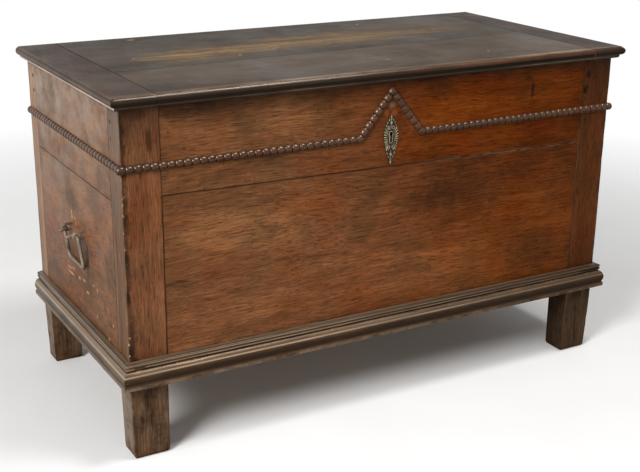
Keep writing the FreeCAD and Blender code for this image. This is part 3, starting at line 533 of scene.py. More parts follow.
def fillet_highlight(wood):
    """Painted highlight: a pale line on the fillet under the nose at the lid's two ends."""
    g = wood.graph
    level = g.math("SUBTRACT", g.xyz["z"], lid_low.z)
    start = lid_high.x - FILLET_HIGHLIGHT_REACH
    outer = g.spread(g.math("ABSOLUTE", g.xyz["x"]), start, start + 2 * MM)
    # Share of the painted highlight
    worn = g.product(outer, wood.uneven(0.95, 0.6))
    wood.tinted(FILLET_HIGHLIGHT_TONE, g.sideways(0.6, 0.85), g.band(level, 0.0, FILLET, 1.0 * MM), worn)


def lid_wood(name, grain, seed):
    """Lid board: worn patches, nicks and a crack on its top, and bare wood over the chest."""
    tones = {"lid_front_board": LID_TONES, "lid_rear_board": REAR_TONES}.get(name, END_TONES)
    wood = Wood(name + "_wood", tones, grain, seed, 0.06)
    g = wood.graph
    streaky = g.spread(g.total(wood.figure, g.product(wood.patina, 0.6)), 0.65, 0.95, 0.25, 1.0)
    for centre, size, strength in LID_WEAR:
        wood.blended(WORN_TONES, 0.6, wood.spot("xy", centre, size, 0.7), streaky, strength)
    wood.marked("xy", [(*mark, NICKED) for mark in LID_NICKS], tone=CHIP)
    if name == "lid_rear_board":
        wood.darken(wood.spot("xy", *LID_CRACK, 0.3))
    depth = g.math("SUBTRACT", g.xyz["y"], lid_low.y)
    # Painted highlight: a pale band along the front edge, just behind the quirk
    wood.tinted(DUST_AND_SHEEN, g.band(depth, 8 * MM, 16 * MM, 6 * MM), wood.uneven(0.75, 0.2, 0.38, 0.55))
    # Painted shade on the lid's faces that look down
    below = g.spread(g.facing["z"], -0.3, -0.1, 1.0, 0.0)
    wood.darken(below, 0.8)
    inside = g.product(below, g.band(g.xyz["x"], carcase_low.x, carcase_high.x, 2 * MM),
                       g.band(g.xyz["y"], carcase_low.y, carcase_high.y, 2 * MM))
    wood.blended(BARE_TONES, 0.75, inside)
    wood.worn(0.1, 0.2, 0.45)
    # Painted highlight on the fillet at the lid's ends
    fillet_highlight(wood)
    if name == "lid_front_board":
        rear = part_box(name)[1].y
        seam = g.band(g.xyz["y"], rear - 5 * MM, rear, 2 * MM)
        wood.tinted(DUST_AND_SHEEN, seam, wood.cloud(14.0, 0.35, 0.6, 0.2, 0.7))
    return wood.done()


def nose_wood(name, grain, seed):
    """Polished moulded edge of the lid, rubbed red along the right half of the front."""
    wood = Wood(name + "_nose_wood", NOSE_TONES, grain, seed, 0.5)
    g = wood.graph
    up = g.facing["z"]
    if name == "lid_front_board":
        right = g.spread(g.xyz["x"], -0.1, 0.2)
        wood.tinted(NOSE_RED, right, wood.uneven(0.15, 0.6), g.spread(up, -0.1, 0.3))
    # Painted shade on the faces of the nose that look down
    wood.darken(g.spread(up, -0.5, 0.0, 0.8, 0.0))
    flank = g.product(g.sideways(0.6, 0.85), g.spread(up, 0.1, 0.45, 1.0, 0.0))
    wood.tinted(NOSE_BROWN, flank, wood.uneven(0.85, 0.5))
    wood.worn(0.15, 0.2, 0.5)
    # Painted highlight on the fillet at the lid's ends
    fillet_highlight(wood)
    wood.gloss(g.spread(up, -0.1, 0.35, 0.04, 0.65), g.spread(g.facing["x"], -0.6, -0.3, 0.2, 1.0),
               g.spread(g.xyz["x"], -0.1, 0.3, 1.0, 0.6))
    wood.warm_gloss()
    wood.roughness = wood.uneven(0.3, 0.42, 0.3, 0.7)
    wood.depth = 0.08 * MM
    return wood.done()


# Heights on the base moulding: the crowns of its two ridges and its torus, and the hollows beside them
BASE_PROUD = (32 * MM, 45.3 * MM, 51.8 * MM)
BASE_HOLLOWS = (12 * MM, 41 * MM, 48.5 * MM, 55.5 * MM)


def base_wood(name, grain, seed):
    """Moulding with dust and a painted highlight on what looks up and on its crowns, painted shade on what
    looks down and towards the right, and dirt and painted shade in its hollows.
    """
    wood = Wood(name + "_wood", BASE_TONES, grain, seed, 0.25)
    g = wood.graph
    up = g.facing["z"]
    right = g.xyz["x"]
    level = g.math("SUBTRACT", g.xyz["z"], base_low.z)
    # Dust and a painted highlight on the faces that look up
    wood.tinted(DUST_AND_SHEEN, g.spread(up, 0.15, 0.7), wood.uneven(0.2, 0.5, 0.3))
    # Painted shade on the faces that look down
    wood.tinted(BASE_DIRT_AND_SHADE, g.spread(up, -0.25, 0.2, 0.65, 0.0))
    wood.tinted(DUST_AND_SHEEN, g.sideways(0.3, 0.7), wood.uneven(0.5, 0.15, 0.3))
    knocked = g.spread(level, 4 * MM, 11 * MM, 1.0, 0.0)
    wood.tinted(DUST_AND_SHEEN, knocked, wood.cloud(28.0, 0.4, 0.6, 0.1, 0.85, 5.0, 0.65))
    # Painted highlight along the crowns
    for height in BASE_PROUD:
        crown = g.band(level, height - 0.8 * MM, height + 0.8 * MM, 1.2 * MM)
        wood.tinted(SHEEN, crown, wood.uneven(0.85, 0.4))
    # Dirt and painted shade in the hollows
    for height in BASE_HOLLOWS:
        hollow = g.band(level, height - 0.6 * MM, height + 0.6 * MM, 1.0 * MM)
        wood.tinted(BASE_DIRT_AND_SHADE, hollow, 0.8)
    # Painted shade, darker towards the right
    wood.tinted(BASE_DIRT_AND_SHADE, g.spread(right, -0.15, 0.5, 0.0, 0.55))
    wood.worn(0.3, 0.3)
    wood.gloss(g.spread(up, 0.0, 0.4, 0.04, 0.55), g.spread(right, -0.1, 0.5, 1.0, 0.5))
    wood.warm_gloss(BASE_WARM)
    wood.roughness = wood.uneven(0.24, 0.42, 0.3, 0.7)
    wood.depth = 0.2 * MM
    return wood.done()


def bead_wood():
    """Polished beads that shine on what looks up, with dirt and painted shade in their waists."""
    wood = Wood("bead_wood", BEAD_TONES, "x", 81, 0.45)
    # Darkens the waists: dirt and painted shade between the beads
    wood.worn(0.3, 0.2, 1.0)
    wood.gloss(wood.graph.spread(wood.graph.facing["z"], -0.2, 0.3, 0.06, 0.65))
    wood.warm_gloss()
    wood.roughness = wood.uneven(0.26, 0.38, 0.3, 0.7)
    wood.depth = 0.1 * MM
    return wood.done()


def peg_end_wood():
    """End grain of the pegs: near the tone of the posts at the left, and nearly black at the right, from
    dark end grain and painted shade like the posts'.
    """
    wood = Wood("peg_wood", POST_TONES, "y", 83, 0.03)
    # Darker towards the right: dark end grain, and painted shade like that on the posts
    wood.darken(wood.graph.spread(wood.graph.xyz["x"], -0.4, 0.3, 0.3, 0.95))
    return wood.done()


def floor_board_wood():
    wood = Wood("floor_board_wood", BARE_TONES, "y", 82, 0.2)
    wood.worn(0.35, 0.2)
    return wood.done()


def iron_finish():
    """Forged iron, clouded and pitted, with painted shade that blackens the lock behind the keyhole."""
    g = Graph("wrought_iron", 0.5)
    cloud = g.noise(g.place, 38.0, 6.0, 0.6)
    pits = g.noise(g.place, 420.0, 4.0, 0.6)
    colour = g.ramp(cloud, (0.3, 0.52, 0.72), IRON_TONES)
    colour = g.mix(g.spread(pits, 0.55, 0.7, 0.0, 0.6), colour, IRON_GRIME)
    # Painted shade: the lock seen through the keyhole is made black
    keyhole_shade = g.product(g.band(g.xyz["x"], -80 * MM, 80 * MM, MM), g.band(g.xyz["z"], 500 * MM, 660 * MM, MM),
                       g.spread(g.facing["y"], -0.6, -0.4, 1.0, 0.0))
    colour = g.mix(keyhole_shade, colour, GRIME_AND_SHADE)
    height = g.total(cloud, g.product(pits, -0.5))
    return g.finish(colour, g.spread(cloud, 0.3, 0.7, 0.38, 0.62), height, 0.9 * MM)


def brass_finish():
    """Old cast brass with dirt in its hollows."""
    g = Graph("old_brass", 0.7)
    cloud = g.noise(g.place, 120.0, 6.0, 0.6)
    fine = g.noise(g.place, 900.0, 3.0, 0.6)
    colour = g.ramp(cloud, (0.3, 0.55, 0.75), BRASS_TONES)
    colour = g.mix(g.spread(g.attribute("seam"), 0.15, 0.6, 0.0, 0.97), colour, BRASS_GRIME)
    return g.finish(colour, g.spread(cloud, 0.3, 0.7, 0.34, 0.56), g.total(cloud, fine), 0.2 * MM)


finishes = dict.fromkeys(FLOOR_BOARDS, floor_board_wood())
finishes.update(dict.fromkeys(PEGS, peg_end_wood()))
noses = {}
for order, name in enumerate(POSTS):
    finishes[name] = post_wood(name, 11 + order)
for order, (side, grain) in enumerate(SIDES.items()):
    for k, kind in enumerate(SIDE_PIECES):
        name = side + "_" + kind
        finishes[name] = carcase_wood(name, side, grain, 31 + 5 * order + k)
for order, name in enumerate(LID_BOARDS):
    grain = "y" if "end" in name else "x"
    finishes[name] = lid_wood(name, grain, 61 + order)
    noses[name] = nose_wood(name, grain, 65 + order)
for order, name in enumerate(BASES):
    finishes[name] = base_wood(name, "x" if "front" in name else "y", 71 + order)
beads = bead_wood()
iron = iron_finish()
brass = brass_finish()
shared = {"moulding_wood": beads, "iron": iron, "brass": brass}


def paint(piece, material):
    if not piece.material_slots:
        piece.data.materials.append(material)
    slot = piece.material_slots[0]
    slot.link = "OBJECT"
    slot.material = material


for name, piece in nodes.items():
    paint(piece, finishes.get(name) or shared[SLOTS[name]])


# Pieces that stand for nodes
EASE = "bevel_weight_edge"
WELD = 0.01 * MM
FLUSH = 4 * MM
SHORT = 24 * MM
FLAT = math.radians(1)
SHARP = math.radians(35)
SMOOTH = math.radians(32)


def linked(name, data):
    """New object in the scene."""
    obj = bpy.data.objects.new(name, data)
    bpy.context.collection.objects.link(obj)
    return obj


def add_piece(name, bm, material, node):
    """New piece from a mesh, which stands for the node of that name and rides on its body."""
    mesh = bpy.data.meshes.new(name)
    bm.to_mesh(mesh)
    bm.free()
    mesh.set_sharp_from_angle(angle=SMOOTH)
    mesh.materials.append(material)
    piece = linked(name, mesh)
    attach(piece, BODIES[node])
    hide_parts(node)
    return piece


def grid_cuts(name, grid):
    """Planes that divide a node's box into cells of about that size."""
    low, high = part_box(name)
    cuts = []
    for k in range(3):
        count = math.floor((high[k] - low[k]) / grid)
        for step in range(1, count):
            point = low.copy()
            point[k] += (high[k] - low[k]) * step / count
            cuts.append((point, Vector(axis == k for axis in range(3))))
    return cuts


def divide(bm, point, normal, clear=False):
    """Cut the mesh along a plane, and with clear take away what lies beyond it."""
    whole = bm.verts[:] + bm.edges[:] + bm.faces[:]
    bmesh.ops.bisect_plane(bm, geom=whole, plane_co=point, plane_no=normal, clear_outer=clear, dist=WELD)


def sink_in(bm, depth_at):
    """Move each point inwards by its own depth."""
    bm.normal_update()
    moves = [vert.normal * depth_at(vert) for vert in bm.verts]
    for vert, move in zip(bm.verts, moves):
        vert.co -= move


def skin(bm, rings):
    """Faces from ring to ring of points, and flat ends."""
    for ring, following in zip(rings, rings[1:]):
        for j, vert in enumerate(ring):
            nxt = (j + 1) % len(ring)
            bm.faces.new((vert, ring[nxt], following[nxt], following[j]))
    bm.faces.new(rings[0][::-1])
    bm.faces.new(rings[-1])


# Worn copies of the wooden pieces
ARRIS_REACH = 9 * MM
SEAM_REACH = 3 * MM
NOSE_REACH = 7 * MM


def facing_out(name, low, high):
    """Directions in which the node lies on the outside of its group."""
    node_low, node_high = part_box(name)
    found = [(k, -1) for k in range(3) if node_low[k] < low[k] + FLUSH]
    return found + [(k, 1) for k in range(3) if node_high[k] > high[k] - FLUSH]


def flat_faced(name):
    """Copy of a node's mesh with each flat face in one piece."""
    bm = bmesh.new()
    bm.from_mesh(nodes[name].data)
    bm.edges.layers.float.new(EASE)
    bmesh.ops.remove_doubles(bm, verts=bm.verts, dist=WELD)
    bmesh.ops.dissolve_limit(bm, angle_limit=FLAT, verts=bm.verts, edges=bm.edges)
    return bm


def sorted_edges(bm, out):
    """Sharp edges that show: arrises, where both faces look out, and seams, where one does."""
    arrises = []
    seams = []
    for edge in bm.edges:
        if len(edge.link_faces) != 2 or not edge.is_convex or edge.calc_face_angle() < SHARP:
            continue
        if edge.calc_length() < SHORT:
            continue
        shown = sum(any(f.normal[k] * sign > 0.7 for k, sign in out) for f in edge.link_faces)
        if shown == 2 or all(v.co.z < base_low.z for v in edge.verts):
            arrises.append(edge)
        elif shown == 1:
            seams.append(edge)
    return arrises, seams


def ends_of(edges):
    return [tuple(tuple(vert.co) for vert in edge.verts) for edge in edges]


def border_cuts(edges):
    """Planes beside each edge, as far inside its two faces as dirt reaches from a seam."""
    cuts = []
    for edge in edges:
        for loop in edge.link_loops:
            inward = loop.face.normal.cross(loop.link_loop_next.vert.co - loop.vert.co).normalized()
            cuts.append((edge.verts[0].co + inward * SEAM_REACH, inward))
    return cuts


def eased(bm, weights, width):
    """The mesh with its listed edges rounded, each by its share of the width."""
    layer = bm.edges.layers.float[EASE]
    for edge, weight in weights.items():
        edge[layer] = weight
    mesh = bpy.data.meshes.new("blank")
    bm.to_mesh(mesh)
    bm.free()
    blank = linked("blank", mesh)
    bevel = blank.modifiers.new("ease", "BEVEL")
    bevel.limit_method = "WEIGHT"
    bevel.width = width
    bevel.segments = 2
    bevel.use_clamp_overlap = False
    shaped = blank.evaluated_get(bpy.context.evaluated_depsgraph_get()).to_mesh()
    result = bmesh.new()
    result.from_mesh(shaped)
    bpy.data.objects.remove(blank)
    bpy.data.meshes.remove(mesh)
    return result


def nearness(points, segments, reach):
    """1 on the nearest segment, falling to 0 at reach from it, for each point."""
    if not segments:
        return np.zeros(len(points))
    start = np.array([s[0] for s in segments])
    span = np.array([s[1] for s in segments]) - start
    offset = points[:, None, :] - start[None, :, :]
    share = np.clip((offset * span).sum(2) / (span * span).sum(1), 0, 1)
    gap = np.linalg.norm(offset - share[:, :, None] * span, axis=2).min(1)
    return np.clip(1 - gap / reach, 0, 1)


def worn_copy(name, group, arris=2.2 * MM, seam=0.6 * MM, grid=30 * MM, sink=0.35 * MM, dent=1.2 * MM):
    """Copy of a wooden node with eased arrises, open seams, a slightly uneven face and dents."""
    bm = flat_faced(name)
    arrises, seams = sorted_edges(bm, facing_out(name, *group))
    arris_lines = ends_of(arrises)
    seam_lines = ends_of(seams)
    long_edges = [edge for edge in arrises + seams if edge.calc_length() > grid]
    cuts = border_cuts(long_edges) + grid_cuts(name, grid)
    weights = {edge: 1.0 for edge in arrises}
    weights.update({edge: seam / arris for edge in seams})
    bm = eased(bm, weights, arris)
    for point, normal in cuts:
        divide(bm, point, normal)
    places = np.array([tuple(v.co) for v in bm.verts])
    near_arris = nearness(places, arris_lines, ARRIS_REACH)
    near_seam = nearness(places, seam_lines, SEAM_REACH)
    arris_layer = bm.verts.layers.float.new("arris")
    seam_layer = bm.verts.layers.float.new("seam")
    for vert, a, s in zip(bm.verts, near_arris, near_seam):
        vert[arris_layer] = a
        vert[seam_layer] = s

    def depth_at(vert):
        if vert.co.z <= MM:
            return 0.0
        wave = sink * (0.5 + 0.5 * noise.noise(vert.co * 7.0))
        return wave + vert[arris_layer] * dent * max(0.0, noise.noise(vert.co * 55.0) + 0.15)

    sink_in(bm, depth_at)
    return add_piece(name + "_worn", bm, finishes[name], name)


def nosed(piece, material):
    """Give the moulded edge of a lid board its own finish."""
    piece.data.materials.append(material)
    for face in piece.data.polygons:
        outside = any(face.center[k] < lid_low[k] + NOSE_REACH or face.center[k] > lid_high[k] - NOSE_REACH
                      for k in range(2))
        if outside and face.normal.z > -0.7:
            face.material_index = 1


carcase_box = (carcase_low, carcase_high)
for name in POSTS:
    worn_copy(name, carcase_box)
for side in SIDES:
    for kind in SIDE_PIECES:
        worn_copy(side + "_" + kind, carcase_box)
for name in LID_BOARDS:
    nosed(worn_copy(name, (lid_low, lid_high), 1.6 * MM, sink=0.25 * MM, dent=0.4 * MM), noses[name])
for name in BASES:
    worn_copy(name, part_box(name), 1.0 * MM, 0.8 * MM, 24 * MM, 0.4 * MM, 1.4 * MM)
for name in FLOOR_BOARDS:
    worn_copy(name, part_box(name), 1.2 * MM)


# Hammered copies of the iron pieces
HAMMER_GRID = 5 * MM
HAMMER_DENT = 0.5 * MM


def hammered_copy(name):
    bm = flat_faced(name)
    for point, normal in grid_cuts(name, HAMMER_GRID):
        divide(bm, point, normal)
    sink_in(bm, lambda vert: HAMMER_DENT * (0.5 + 0.5 * noise.noise(vert.co * 110.0)))
    add_piece(name + "_hammered", bm, iron, name)


for name in FORGED:
    hammered_copy(name)


# Turned beads: the waist is a share of the radius, and the swell is a little fuller than a circle
BEAD_PITCH = 16.7 * MM
BEAD_WAIST = 0.48
BEAD_SHOULDER = 2.4
BEAD_STATIONS = 8
BEAD_SIDES = 12
GABLE_CENTRE = -3 * MM
GABLE_HALF = 77 * MM
GABLE_RISE = 94 * MM


def bead_run(name, start, end, outward, mitres, seed):
    """Row of half-round beads on the carcase face, with one centred on each mitre and cut by its plane."""
    rng = random.Random(seed)
    length = (end - start).length
    way = (end - start) / length
    across = outward.cross(way)
    shared_start, shared_end = (plane is not None for plane in mitres)
    halves = (shared_start + shared_end) / 2
    count = max(1, round(length / BEAD_PITCH - halves))
    pitch = length / (count + halves)
    bm = bmesh.new()
    dark = bm.verts.layers.float.new("seam")
    rings = []
    for bead in range(count + shared_start + shared_end):
        size = bead_radius * rng.uniform(0.955, 1.0)
        for k in range(BEAD_STATIONS):
            u = (1 - math.cos(math.pi * k / BEAD_STATIONS)) / 2
            swell = (1 - abs(2 * u - 1) ** BEAD_SHOULDER) ** (1 / BEAD_SHOULDER)
            radius = size * (BEAD_WAIST + (1 - BEAD_WAIST) * swell)
            centre = start + way * (bead - shared_start / 2 + u) * pitch
            ring = []
            for j in range(BEAD_SIDES + 1):
                angle = math.pi * j / BEAD_SIDES
                out = across * math.cos(angle) + outward * math.sin(angle)
                vert = bm.verts.new(centre + out * radius)
                # The waists take the seam share, which the bead finish turns into dirt and painted shade
                vert[dark] = 1 - swell
                ring.append(vert)
            rings.append(ring)
    skin(bm, rings)
    for point, normal in filter(None, mitres):
        divide(bm, point, normal, clear=True)
        bmesh.ops.edgeloop_fill(bm, edges=[e for e in bm.edges if e.is_boundary])
    bmesh.ops.recalc_face_normals(bm, faces=bm.faces)
    add_piece(name + "_turned", bm, beads, name)


def front_bead_runs():
    """The four runs of the front, which climb over the keyhole."""
    end = carcase_high.x + bead_radius
    stops = ((-end, 0), (GABLE_CENTRE - GABLE_HALF, 0), (GABLE_CENTRE, GABLE_RISE),
             (GABLE_CENTRE + GABLE_HALF, 0), (end, 0))
    line = [Vector((x, front_y, bead_mid + rise)) for x, rise in stops]
    ways = [(b - a).normalized() for a, b in zip(line, line[1:])]
    names = ("bead_front_left", "bead_gable_left", "bead_gable_right", "bead_front_right")
    for k, name in enumerate(names):
        before = (line[k], -(ways[k - 1] + ways[k])) if k > 0 else None
        after = (line[k + 1], ways[k] + ways[k + 1]) if k < len(names) - 1 else None
        bead_run(name, line[k], line[k + 1], Vector((0, -1, 0)), (before, after), 200 + k)


front_bead_runs()
for sign, name in ((-1, "bead_side_left"), (1, "bead_side_right")):
    x = carcase_high.x * sign
    bead_run(name, Vector((x, bead_low.y, bead_mid)), Vector((x, bead_high.y, bead_mid)),
             Vector((sign, 0, 0)), (None, None), 210 + sign)


# Cast escutcheon
RELIEF_GRID = 0.85 * MM
RELIEF_DEPTH = 1.5 * MM
RELIEF_MARGIN = 0.45 * RELIEF_GRID
RELIEF_REACH = 20 * MM
REED_COUNT = 30
WELD_FLAT = 1e-7
key_z = bead_mid + 3 * MM


def front_loops(name):
    """Outlines of the flat front of a node: the outer one first, then those of its holes."""
    bm = bmesh.new()
    bm.from_mesh(nodes[name].data)
    bmesh.ops.remove_doubles(bm, verts=bm.verts, dist=WELD)
    front = min(v.co.y for v in bm.verts)
    flat = {f for f in bm.faces if all(v.co.y < front + WELD for v in f.verts)}
    rim = [e for e in bm.edges if len(flat.intersection(e.link_faces)) == 1]
    following = {}
    for edge in rim:
        face = next(f for f in edge.link_faces if f in flat)
        loop = next(x for x in face.loops if x.edge == edge)
        following[loop.vert] = loop.link_loop_next.vert
    loops = []
    while following:
        vert, nxt = following.popitem()
        loop = [vert.co.xz]
        while nxt in following:
            loop.append(nxt.co.xz)
            nxt = following.pop(nxt)
        loops.append(np.array([tuple(p) for p in loop]))
    bm.free()
    loops.sort(key=lambda loop: -np.ptp(loop[:, 1]))
    return loops, front


def sides_of(loop):
    return zip(loop, np.roll(loop, -1, axis=0))


def within(points, loop):
    """Which points lie inside a closed outline."""
    inside_it = np.zeros(len(points), bool)
    for a, b in sides_of(loop):
        level = (a[1] > points[:, 1]) != (b[1] > points[:, 1])
        rise = b[1] - a[1] if b[1] != a[1] else 1.0
        inside_it ^= level & (points[:, 0] < a[0] + (b[0] - a[0]) * (points[:, 1] - a[1]) / rise)
    return inside_it


def gap_to(points, loop, reach):
    """Distance from points of the plane to an outline, up to reach."""
    flat = np.column_stack([points, np.zeros(len(points))])
    segments = [((*a, 0.0), (*b, 0.0)) for a, b in sides_of(loop)]
    return reach * (1 - nearness(flat, segments, reach))


def smooth(value, low, high):
    share = np.clip((value - low) / (high - low), 0, 1)
    return share * share * (3 - 2 * share)


def relief(points, loops):
    """Height of the casting from 0 in the hollows to 1: teeth round the rim, collars and a midrib."""
    rim = gap_to(points, loops[0], RELIEF_REACH)
    across = np.abs(points[:, 0] - GABLE_CENTRE)
    rise = points[:, 1] - key_z
    hole = np.minimum.reduce([gap_to(points, loop, RELIEF_REACH) for loop in loops[1:]])
    angle = np.arctan2(points[:, 0] - GABLE_CENTRE, (rise + 9 * MM) * 0.62)
    teeth = smooth(np.cos(REED_COUNT * angle), -0.35, 0.45)
    belt = 1 - smooth(rim, 5.6 * MM, 6.6 * MM)
    ring = 1 - smooth(np.abs(rim - 7.4 * MM), 0.4 * MM, 1.3 * MM)
    lobes = 0.3 + 0.3 * np.cos(points[:, 1] / (0.9 * MM)) * np.cos(across / (0.9 * MM))
    body = belt * teeth + (1 - belt) * np.maximum(0.7 * ring, lobes)
    border = (1 - smooth(np.abs(rim - 1.4 * MM), 0.5 * MM, 1.5 * MM)) * (0.45 + 0.55 * teeth)
    rib = 1 - smooth(across, 0.5 * MM, 1.8 * MM)
    leaf = 0.1 + 0.85 * np.maximum(border, 0.8 * rib)
    share = smooth(rise, 11 * MM, 15 * MM) + 1 - smooth(rise, -38 * MM, -33 * MM)
    height = body * (1 - share) + leaf * share
    collar = 1 - smooth(hole, 1.2 * MM, 2.2 * MM)
    return np.clip(np.maximum(height, 0.85 * collar), 0, 1)


def solid_part(points, loops):
    """Which points of the plane lie in the plate and in none of its holes."""
    solid = within(points, loops[0])
    for loop in loops[1:]:
        solid &= ~within(points, loop)
    return solid


def plate_mesh(points, edges, loops):
    """Points and triangles of a flat plate with holes."""
    cut = delaunay_2d_cdt([Vector(p) for p in points], edges, [], 2, WELD_FLAT)
    places = np.array([tuple(p) for p in cut[0]])
    middles = np.array([places[list(face)].mean(0) for face in cut[2]])
    return places, [face for face, kept in zip(cut[2], solid_part(middles, loops)) if kept]


def escutcheon_cast():
    """Plate with its relief in front, a flat back, and walls along its outline and holes."""
    loops, front = front_loops("escutcheon")
    low = loops[0].min(0)
    high = loops[0].max(0)
    xs = np.arange(low[0], high[0], RELIEF_GRID)
    zs = np.arange(low[1], high[1], RELIEF_GRID)
    grid = np.array([(x, z) for x in xs for z in zs])
    keep = solid_part(grid, loops)
    edges = []
    first = 0
    for loop in loops:
        keep &= gap_to(grid, loop, 2 * MM) > RELIEF_MARGIN
        count = len(loop)
        edges += [(first + k, first + (k + 1) % count) for k in range(count)]
        first += count
    rims = np.concatenate(loops)
    places, faces = plate_mesh(np.concatenate([rims, grid[keep]]), edges, loops)
    back_places, back_faces = plate_mesh(rims, edges, loops)
    bm = bmesh.new()
    dark = bm.verts.layers.float.new("seam")
    top = []
    for (x, z), height in zip(places, relief(places, loops)):
        vert = bm.verts.new((x, front + (1 - height) * RELIEF_DEPTH, z))
        vert[dark] = 1 - height
        top.append(vert)
    base = [bm.verts.new((x, front_y, z)) for x, z in back_places]
    for vert in base:
        vert[dark] = 1.0
    for face in faces:
        bm.faces.new([top[k] for k in face])
    for face in back_faces:
        bm.faces.new([base[k] for k in reversed(face)])
    for a, b in edges:
        bm.faces.new((top[a], top[b], base[b], base[a]))
    bmesh.ops.recalc_face_normals(bm, faces=bm.faces)
    add_piece("escutcheon_cast", bm, brass, "escutcheon")


def circle(centre, first, second, radius, sides):
    """Points of a circle in the plane of two directions."""
    turns = [2 * math.pi * j / sides for j in range(sides)]
    return [centre + (first * math.cos(turn) + second * math.sin(turn)) * radius for turn in turns]


# Pins of the escutcheon: depth from the tip of the head, as a share of the length, and share of its radius
PIN_PROFILE = ((0.0, 0.25), (0.01, 0.55), (0.03, 0.8), (0.06, 0.95), (0.1, 1.0), (0.13, 0.95), (0.14, 0.5),
               (0.95, 0.42), (1.0, 0.2))
PIN_SIDES = 14


def pin_heads():
    """Domed heads of the escutcheon's pins, each on the shank of its solid."""
    bm = bmesh.new()
    bm.verts.layers.float.new("seam")
    low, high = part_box("escutcheon_pins")
    half = (high.x - low.x) / 2
    for z in (low.z + half, high.z - half):
        rings = []
        for depth, share in PIN_PROFILE:
            centre = Vector((low.x + half, low.y + depth * (high.y - low.y), z))
            points = circle(centre, Vector((1, 0, 0)), Vector((0, 0, 1)), half * share, PIN_SIDES)
            rings.append([bm.verts.new(point) for point in points])
        skin(bm, rings)
    bmesh.ops.recalc_face_normals(bm, faces=bm.faces)
    add_piece("escutcheon_pins_domed", bm, brass, "escutcheon_pins")


escutcheon_cast()
pin_heads()


# Forged handles
BAIL_RADIUS = 4 * MM
BAIL_BEND = 8 * MM
BAIL_TIP_INSET = 23 * MM
BAIL_TIP_REACH = 19 * MM
BAIL_STEP = 4 * MM
BAIL_SIDES = 14
BEND_STEPS = 6
BLUNT = 0.62


def rounded_route(corners):
    """Points along straight runs with a tangent arc at each corner."""
    route = [corners[0]]

    def run_to(end):
        here = route[-1]
        pieces = max(1, round((end - here).length / BAIL_STEP))
        route.extend([here + (end - here) * k / pieces for k in range(1, pieces + 1)])

    for before, corner, after in zip(corners, corners[1:], corners[2:]):
        back = (before - corner).normalized() * BAIL_BEND
        onward = (after - corner).normalized() * BAIL_BEND
        run_to(corner + back)
        for k in range(1, BEND_STEPS + 1):
            turn = math.pi / 2 * k / BEND_STEPS
            route.append(corner + back * (1 - math.sin(turn)) + onward * (1 - math.cos(turn)))
    run_to(corners[-1])
    return route


def forged_bar(route, radius, seed):
    """Round bar drawn out by hand: its girth and its section vary a little, and its ends are blunt."""
    bm = bmesh.new()
    rings = []
    reference = (route[1] - route[0]).normalized().orthogonal().normalized()
    for k, point in enumerate(route):
        ahead = (route[min(k + 1, len(route) - 1)] - route[max(k - 1, 0)]).normalized()
        reference = (reference - ahead * reference.dot(ahead)).normalized()
        size = radius * (0.93 + 0.07 * noise.noise(point * 90.0 + Vector((seed, 0, 0))))
        if k in (0, len(route) - 1):
            size *= BLUNT
        ring = []
        for rim in circle(Vector(), reference, ahead.cross(reference), 1.0, BAIL_SIDES):
            dent = 1 - 0.05 * (0.5 + 0.5 * noise.noise((point + rim * radius) * 260.0))
            ring.append(bm.verts.new(point + rim * size * dent))
        rings.append(ring)
    skin(bm, rings)
    bmesh.ops.recalc_face_normals(bm, faces=bm.faces)
    return bm


def bail(side, sign, seed):
    """Drop handle through its two eyes, with its foot on the wall and its tips turned out."""
    name = side + "_handle_bail"
    low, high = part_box(name)
    swing = next(joint for joint in frame["joints"] if joint["name"] == side + "_handle_swing")
    eye = Vector((swing["pos_m"][0], 0.0, swing["pos_m"][2]))
    wall = high.x if sign < 0 else low.x
    foot = Vector((wall + sign * BAIL_RADIUS, 0.0, low.z + BAIL_RADIUS))
    drop = (foot - eye).normalized()
    tip = eye + Vector((-sign * drop.z, 0.0, -abs(drop.x))) * BAIL_TIP_REACH
    ends = (low.y + BAIL_RADIUS, high.y - BAIL_RADIUS)
    bends = (ends[0] + BAIL_TIP_INSET, ends[1] - BAIL_TIP_INSET)
    stops = [(tip, bends[0]), (eye, bends[0]), (eye, ends[0]), (foot, ends[0]),
             (foot, ends[1]), (eye, ends[1]), (eye, bends[1]), (tip, bends[1])]
    route = rounded_route([point + Vector((0.0, y, 0.0)) for point, y in stops])
    add_piece(name + "_forged", forged_bar(route, BAIL_RADIUS, seed), iron, name)


bail("left", -1, 3.0)
bail("right", 1, 7.0)


# Floor, light and camera
FLOOR_REACH = 12.0
FLOOR_TONES = ((0.74, 0.735, 0.725), (0.77, 0.765, 0.76))
FADE_START = 1.0
FADE_END = 2.6
FILL = 0.36
DARK_ROOM = 0.2
CAMERA_PLACE = (-1.3127, -2.2862, 1.2110)
CAMERA_AZIMUTH = math.radians(29.71)
CAMERA_PITCH = math.radians(19.05)
CAMERA_ROLL = math.radians(0.61)
FOCAL_LENGTH = 65.63
SENSOR_WIDTH = 36.0


def area_light(name, place, target, width, height, power):
    lamp = bpy.data.lights.new(name, "AREA")
    lamp.shape = "ELLIPSE"
    lamp.size = width
    lamp.size_y = height
    lamp.energy = power
    obj = linked(name, lamp)
    obj.location = place
    obj.rotation_euler = (Vector(target) - Vector(place)).to_track_quat("-Z", "Y").to_euler()


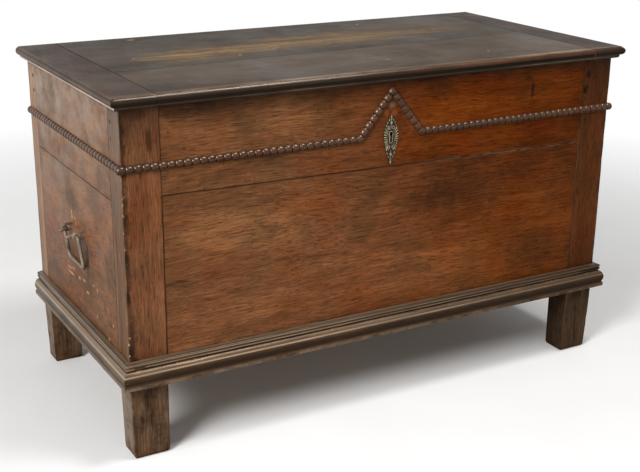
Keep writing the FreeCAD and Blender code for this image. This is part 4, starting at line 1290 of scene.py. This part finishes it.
def floor():
    """Pale floor that keeps the shadow of the object and fades to white away from it."""
    mesh = bpy.data.meshes.new("studio_floor")
    corners = ((-1, -1), (1, -1), (1, 1), (-1, 1))
    mesh.from_pydata([(x * FLOOR_REACH, y * FLOOR_REACH, 0) for x, y in corners], [], [(0, 1, 2, 3)])
    obj = linked("studio_floor", mesh)
    g = Graph("studio_floor_finish")
    cloud = g.noise(g.place, 3.0, 3.0)
    colour = g.ramp(cloud, (0.3, 0.7), FLOOR_TONES)
    mesh.materials.append(g.finish(colour, g.spread(cloud, 0.3, 0.7, 0.85, 0.92), cloud, 0.1 * MM))
    path = g.nodes.new("ShaderNodeLightPath").outputs
    mirrored = g.math("MAXIMUM", path["Is Glossy Ray"], path["Is Transmission Ray"])
    seen = g.math("MAXIMUM", path["Is Camera Ray"], mirrored)
    distance = g.add("VectorMath", {0: g.place}, "Value", operation="LENGTH")
    share = g.product(g.spread(distance, FADE_START, FADE_END), seen)
    white = g.add("Emission", {})
    g.put(g.surface, g.add("MixShader", {0: share, 1: g.shader.outputs["BSDF"], 2: white}))


def world():
    """White background, a darker room in front that only reflections show, and an even soft fill."""
    sky = bpy.data.worlds.new("studio_world")
    bpy.context.scene.world = sky
    sky.use_nodes = True
    tree = Tree(sky.node_tree)
    path = tree.nodes.new("ShaderNodeLightPath").outputs
    way = tree.parts(tree.nodes.new("ShaderNodeTexCoord").outputs["Generated"])
    room = tree.spread(tree.math("SUBTRACT", way["y"], way["z"]), -0.6, 0.15, DARK_ROOM, 1.0)
    mirrored = tree.math("MAXIMUM", path["Is Glossy Ray"], path["Is Transmission Ray"])
    level = tree.blend(mirrored, FILL, room)
    background = tree.nodes["Background"].inputs
    tree.put(background["Color"], (1.0, 1.0, 1.0, 1.0))
    tree.put(background["Strength"], tree.blend(path["Is Camera Ray"], level, 1.0))


def camera():
    level = Vector((math.sin(CAMERA_AZIMUTH), math.cos(CAMERA_AZIMUTH), 0.0))
    forward = level * math.cos(CAMERA_PITCH) - Vector((0.0, 0.0, math.sin(CAMERA_PITCH)))
    right = Vector((level.y, -level.x, 0.0))
    up = right.cross(forward)
    across = math.cos(CAMERA_ROLL) * right + math.sin(CAMERA_ROLL) * up
    above = math.cos(CAMERA_ROLL) * up - math.sin(CAMERA_ROLL) * right
    lens = bpy.data.cameras.new("photo_camera")
    lens.sensor_width = SENSOR_WIDTH
    lens.lens = FOCAL_LENGTH
    obj = linked("photo_camera", lens)
    turn = Matrix((across, above, -forward)).transposed().to_4x4()
    obj.matrix_world = Matrix.Translation(CAMERA_PLACE) @ turn
    bpy.context.scene.camera = obj


floor()
world()
area_light("key_light", (-3.4, -2.0, 2.8), (0.0, 0.0, 0.4), width=1.6, height=1.6, power=215.0)
area_light("top_light", (0.6, -0.9, 3.0), (0.0, -0.1, 0.5), width=1.1, height=0.7, power=50.0)
camera()
bpy.context.scene.view_settings.view_transform = "Standard"
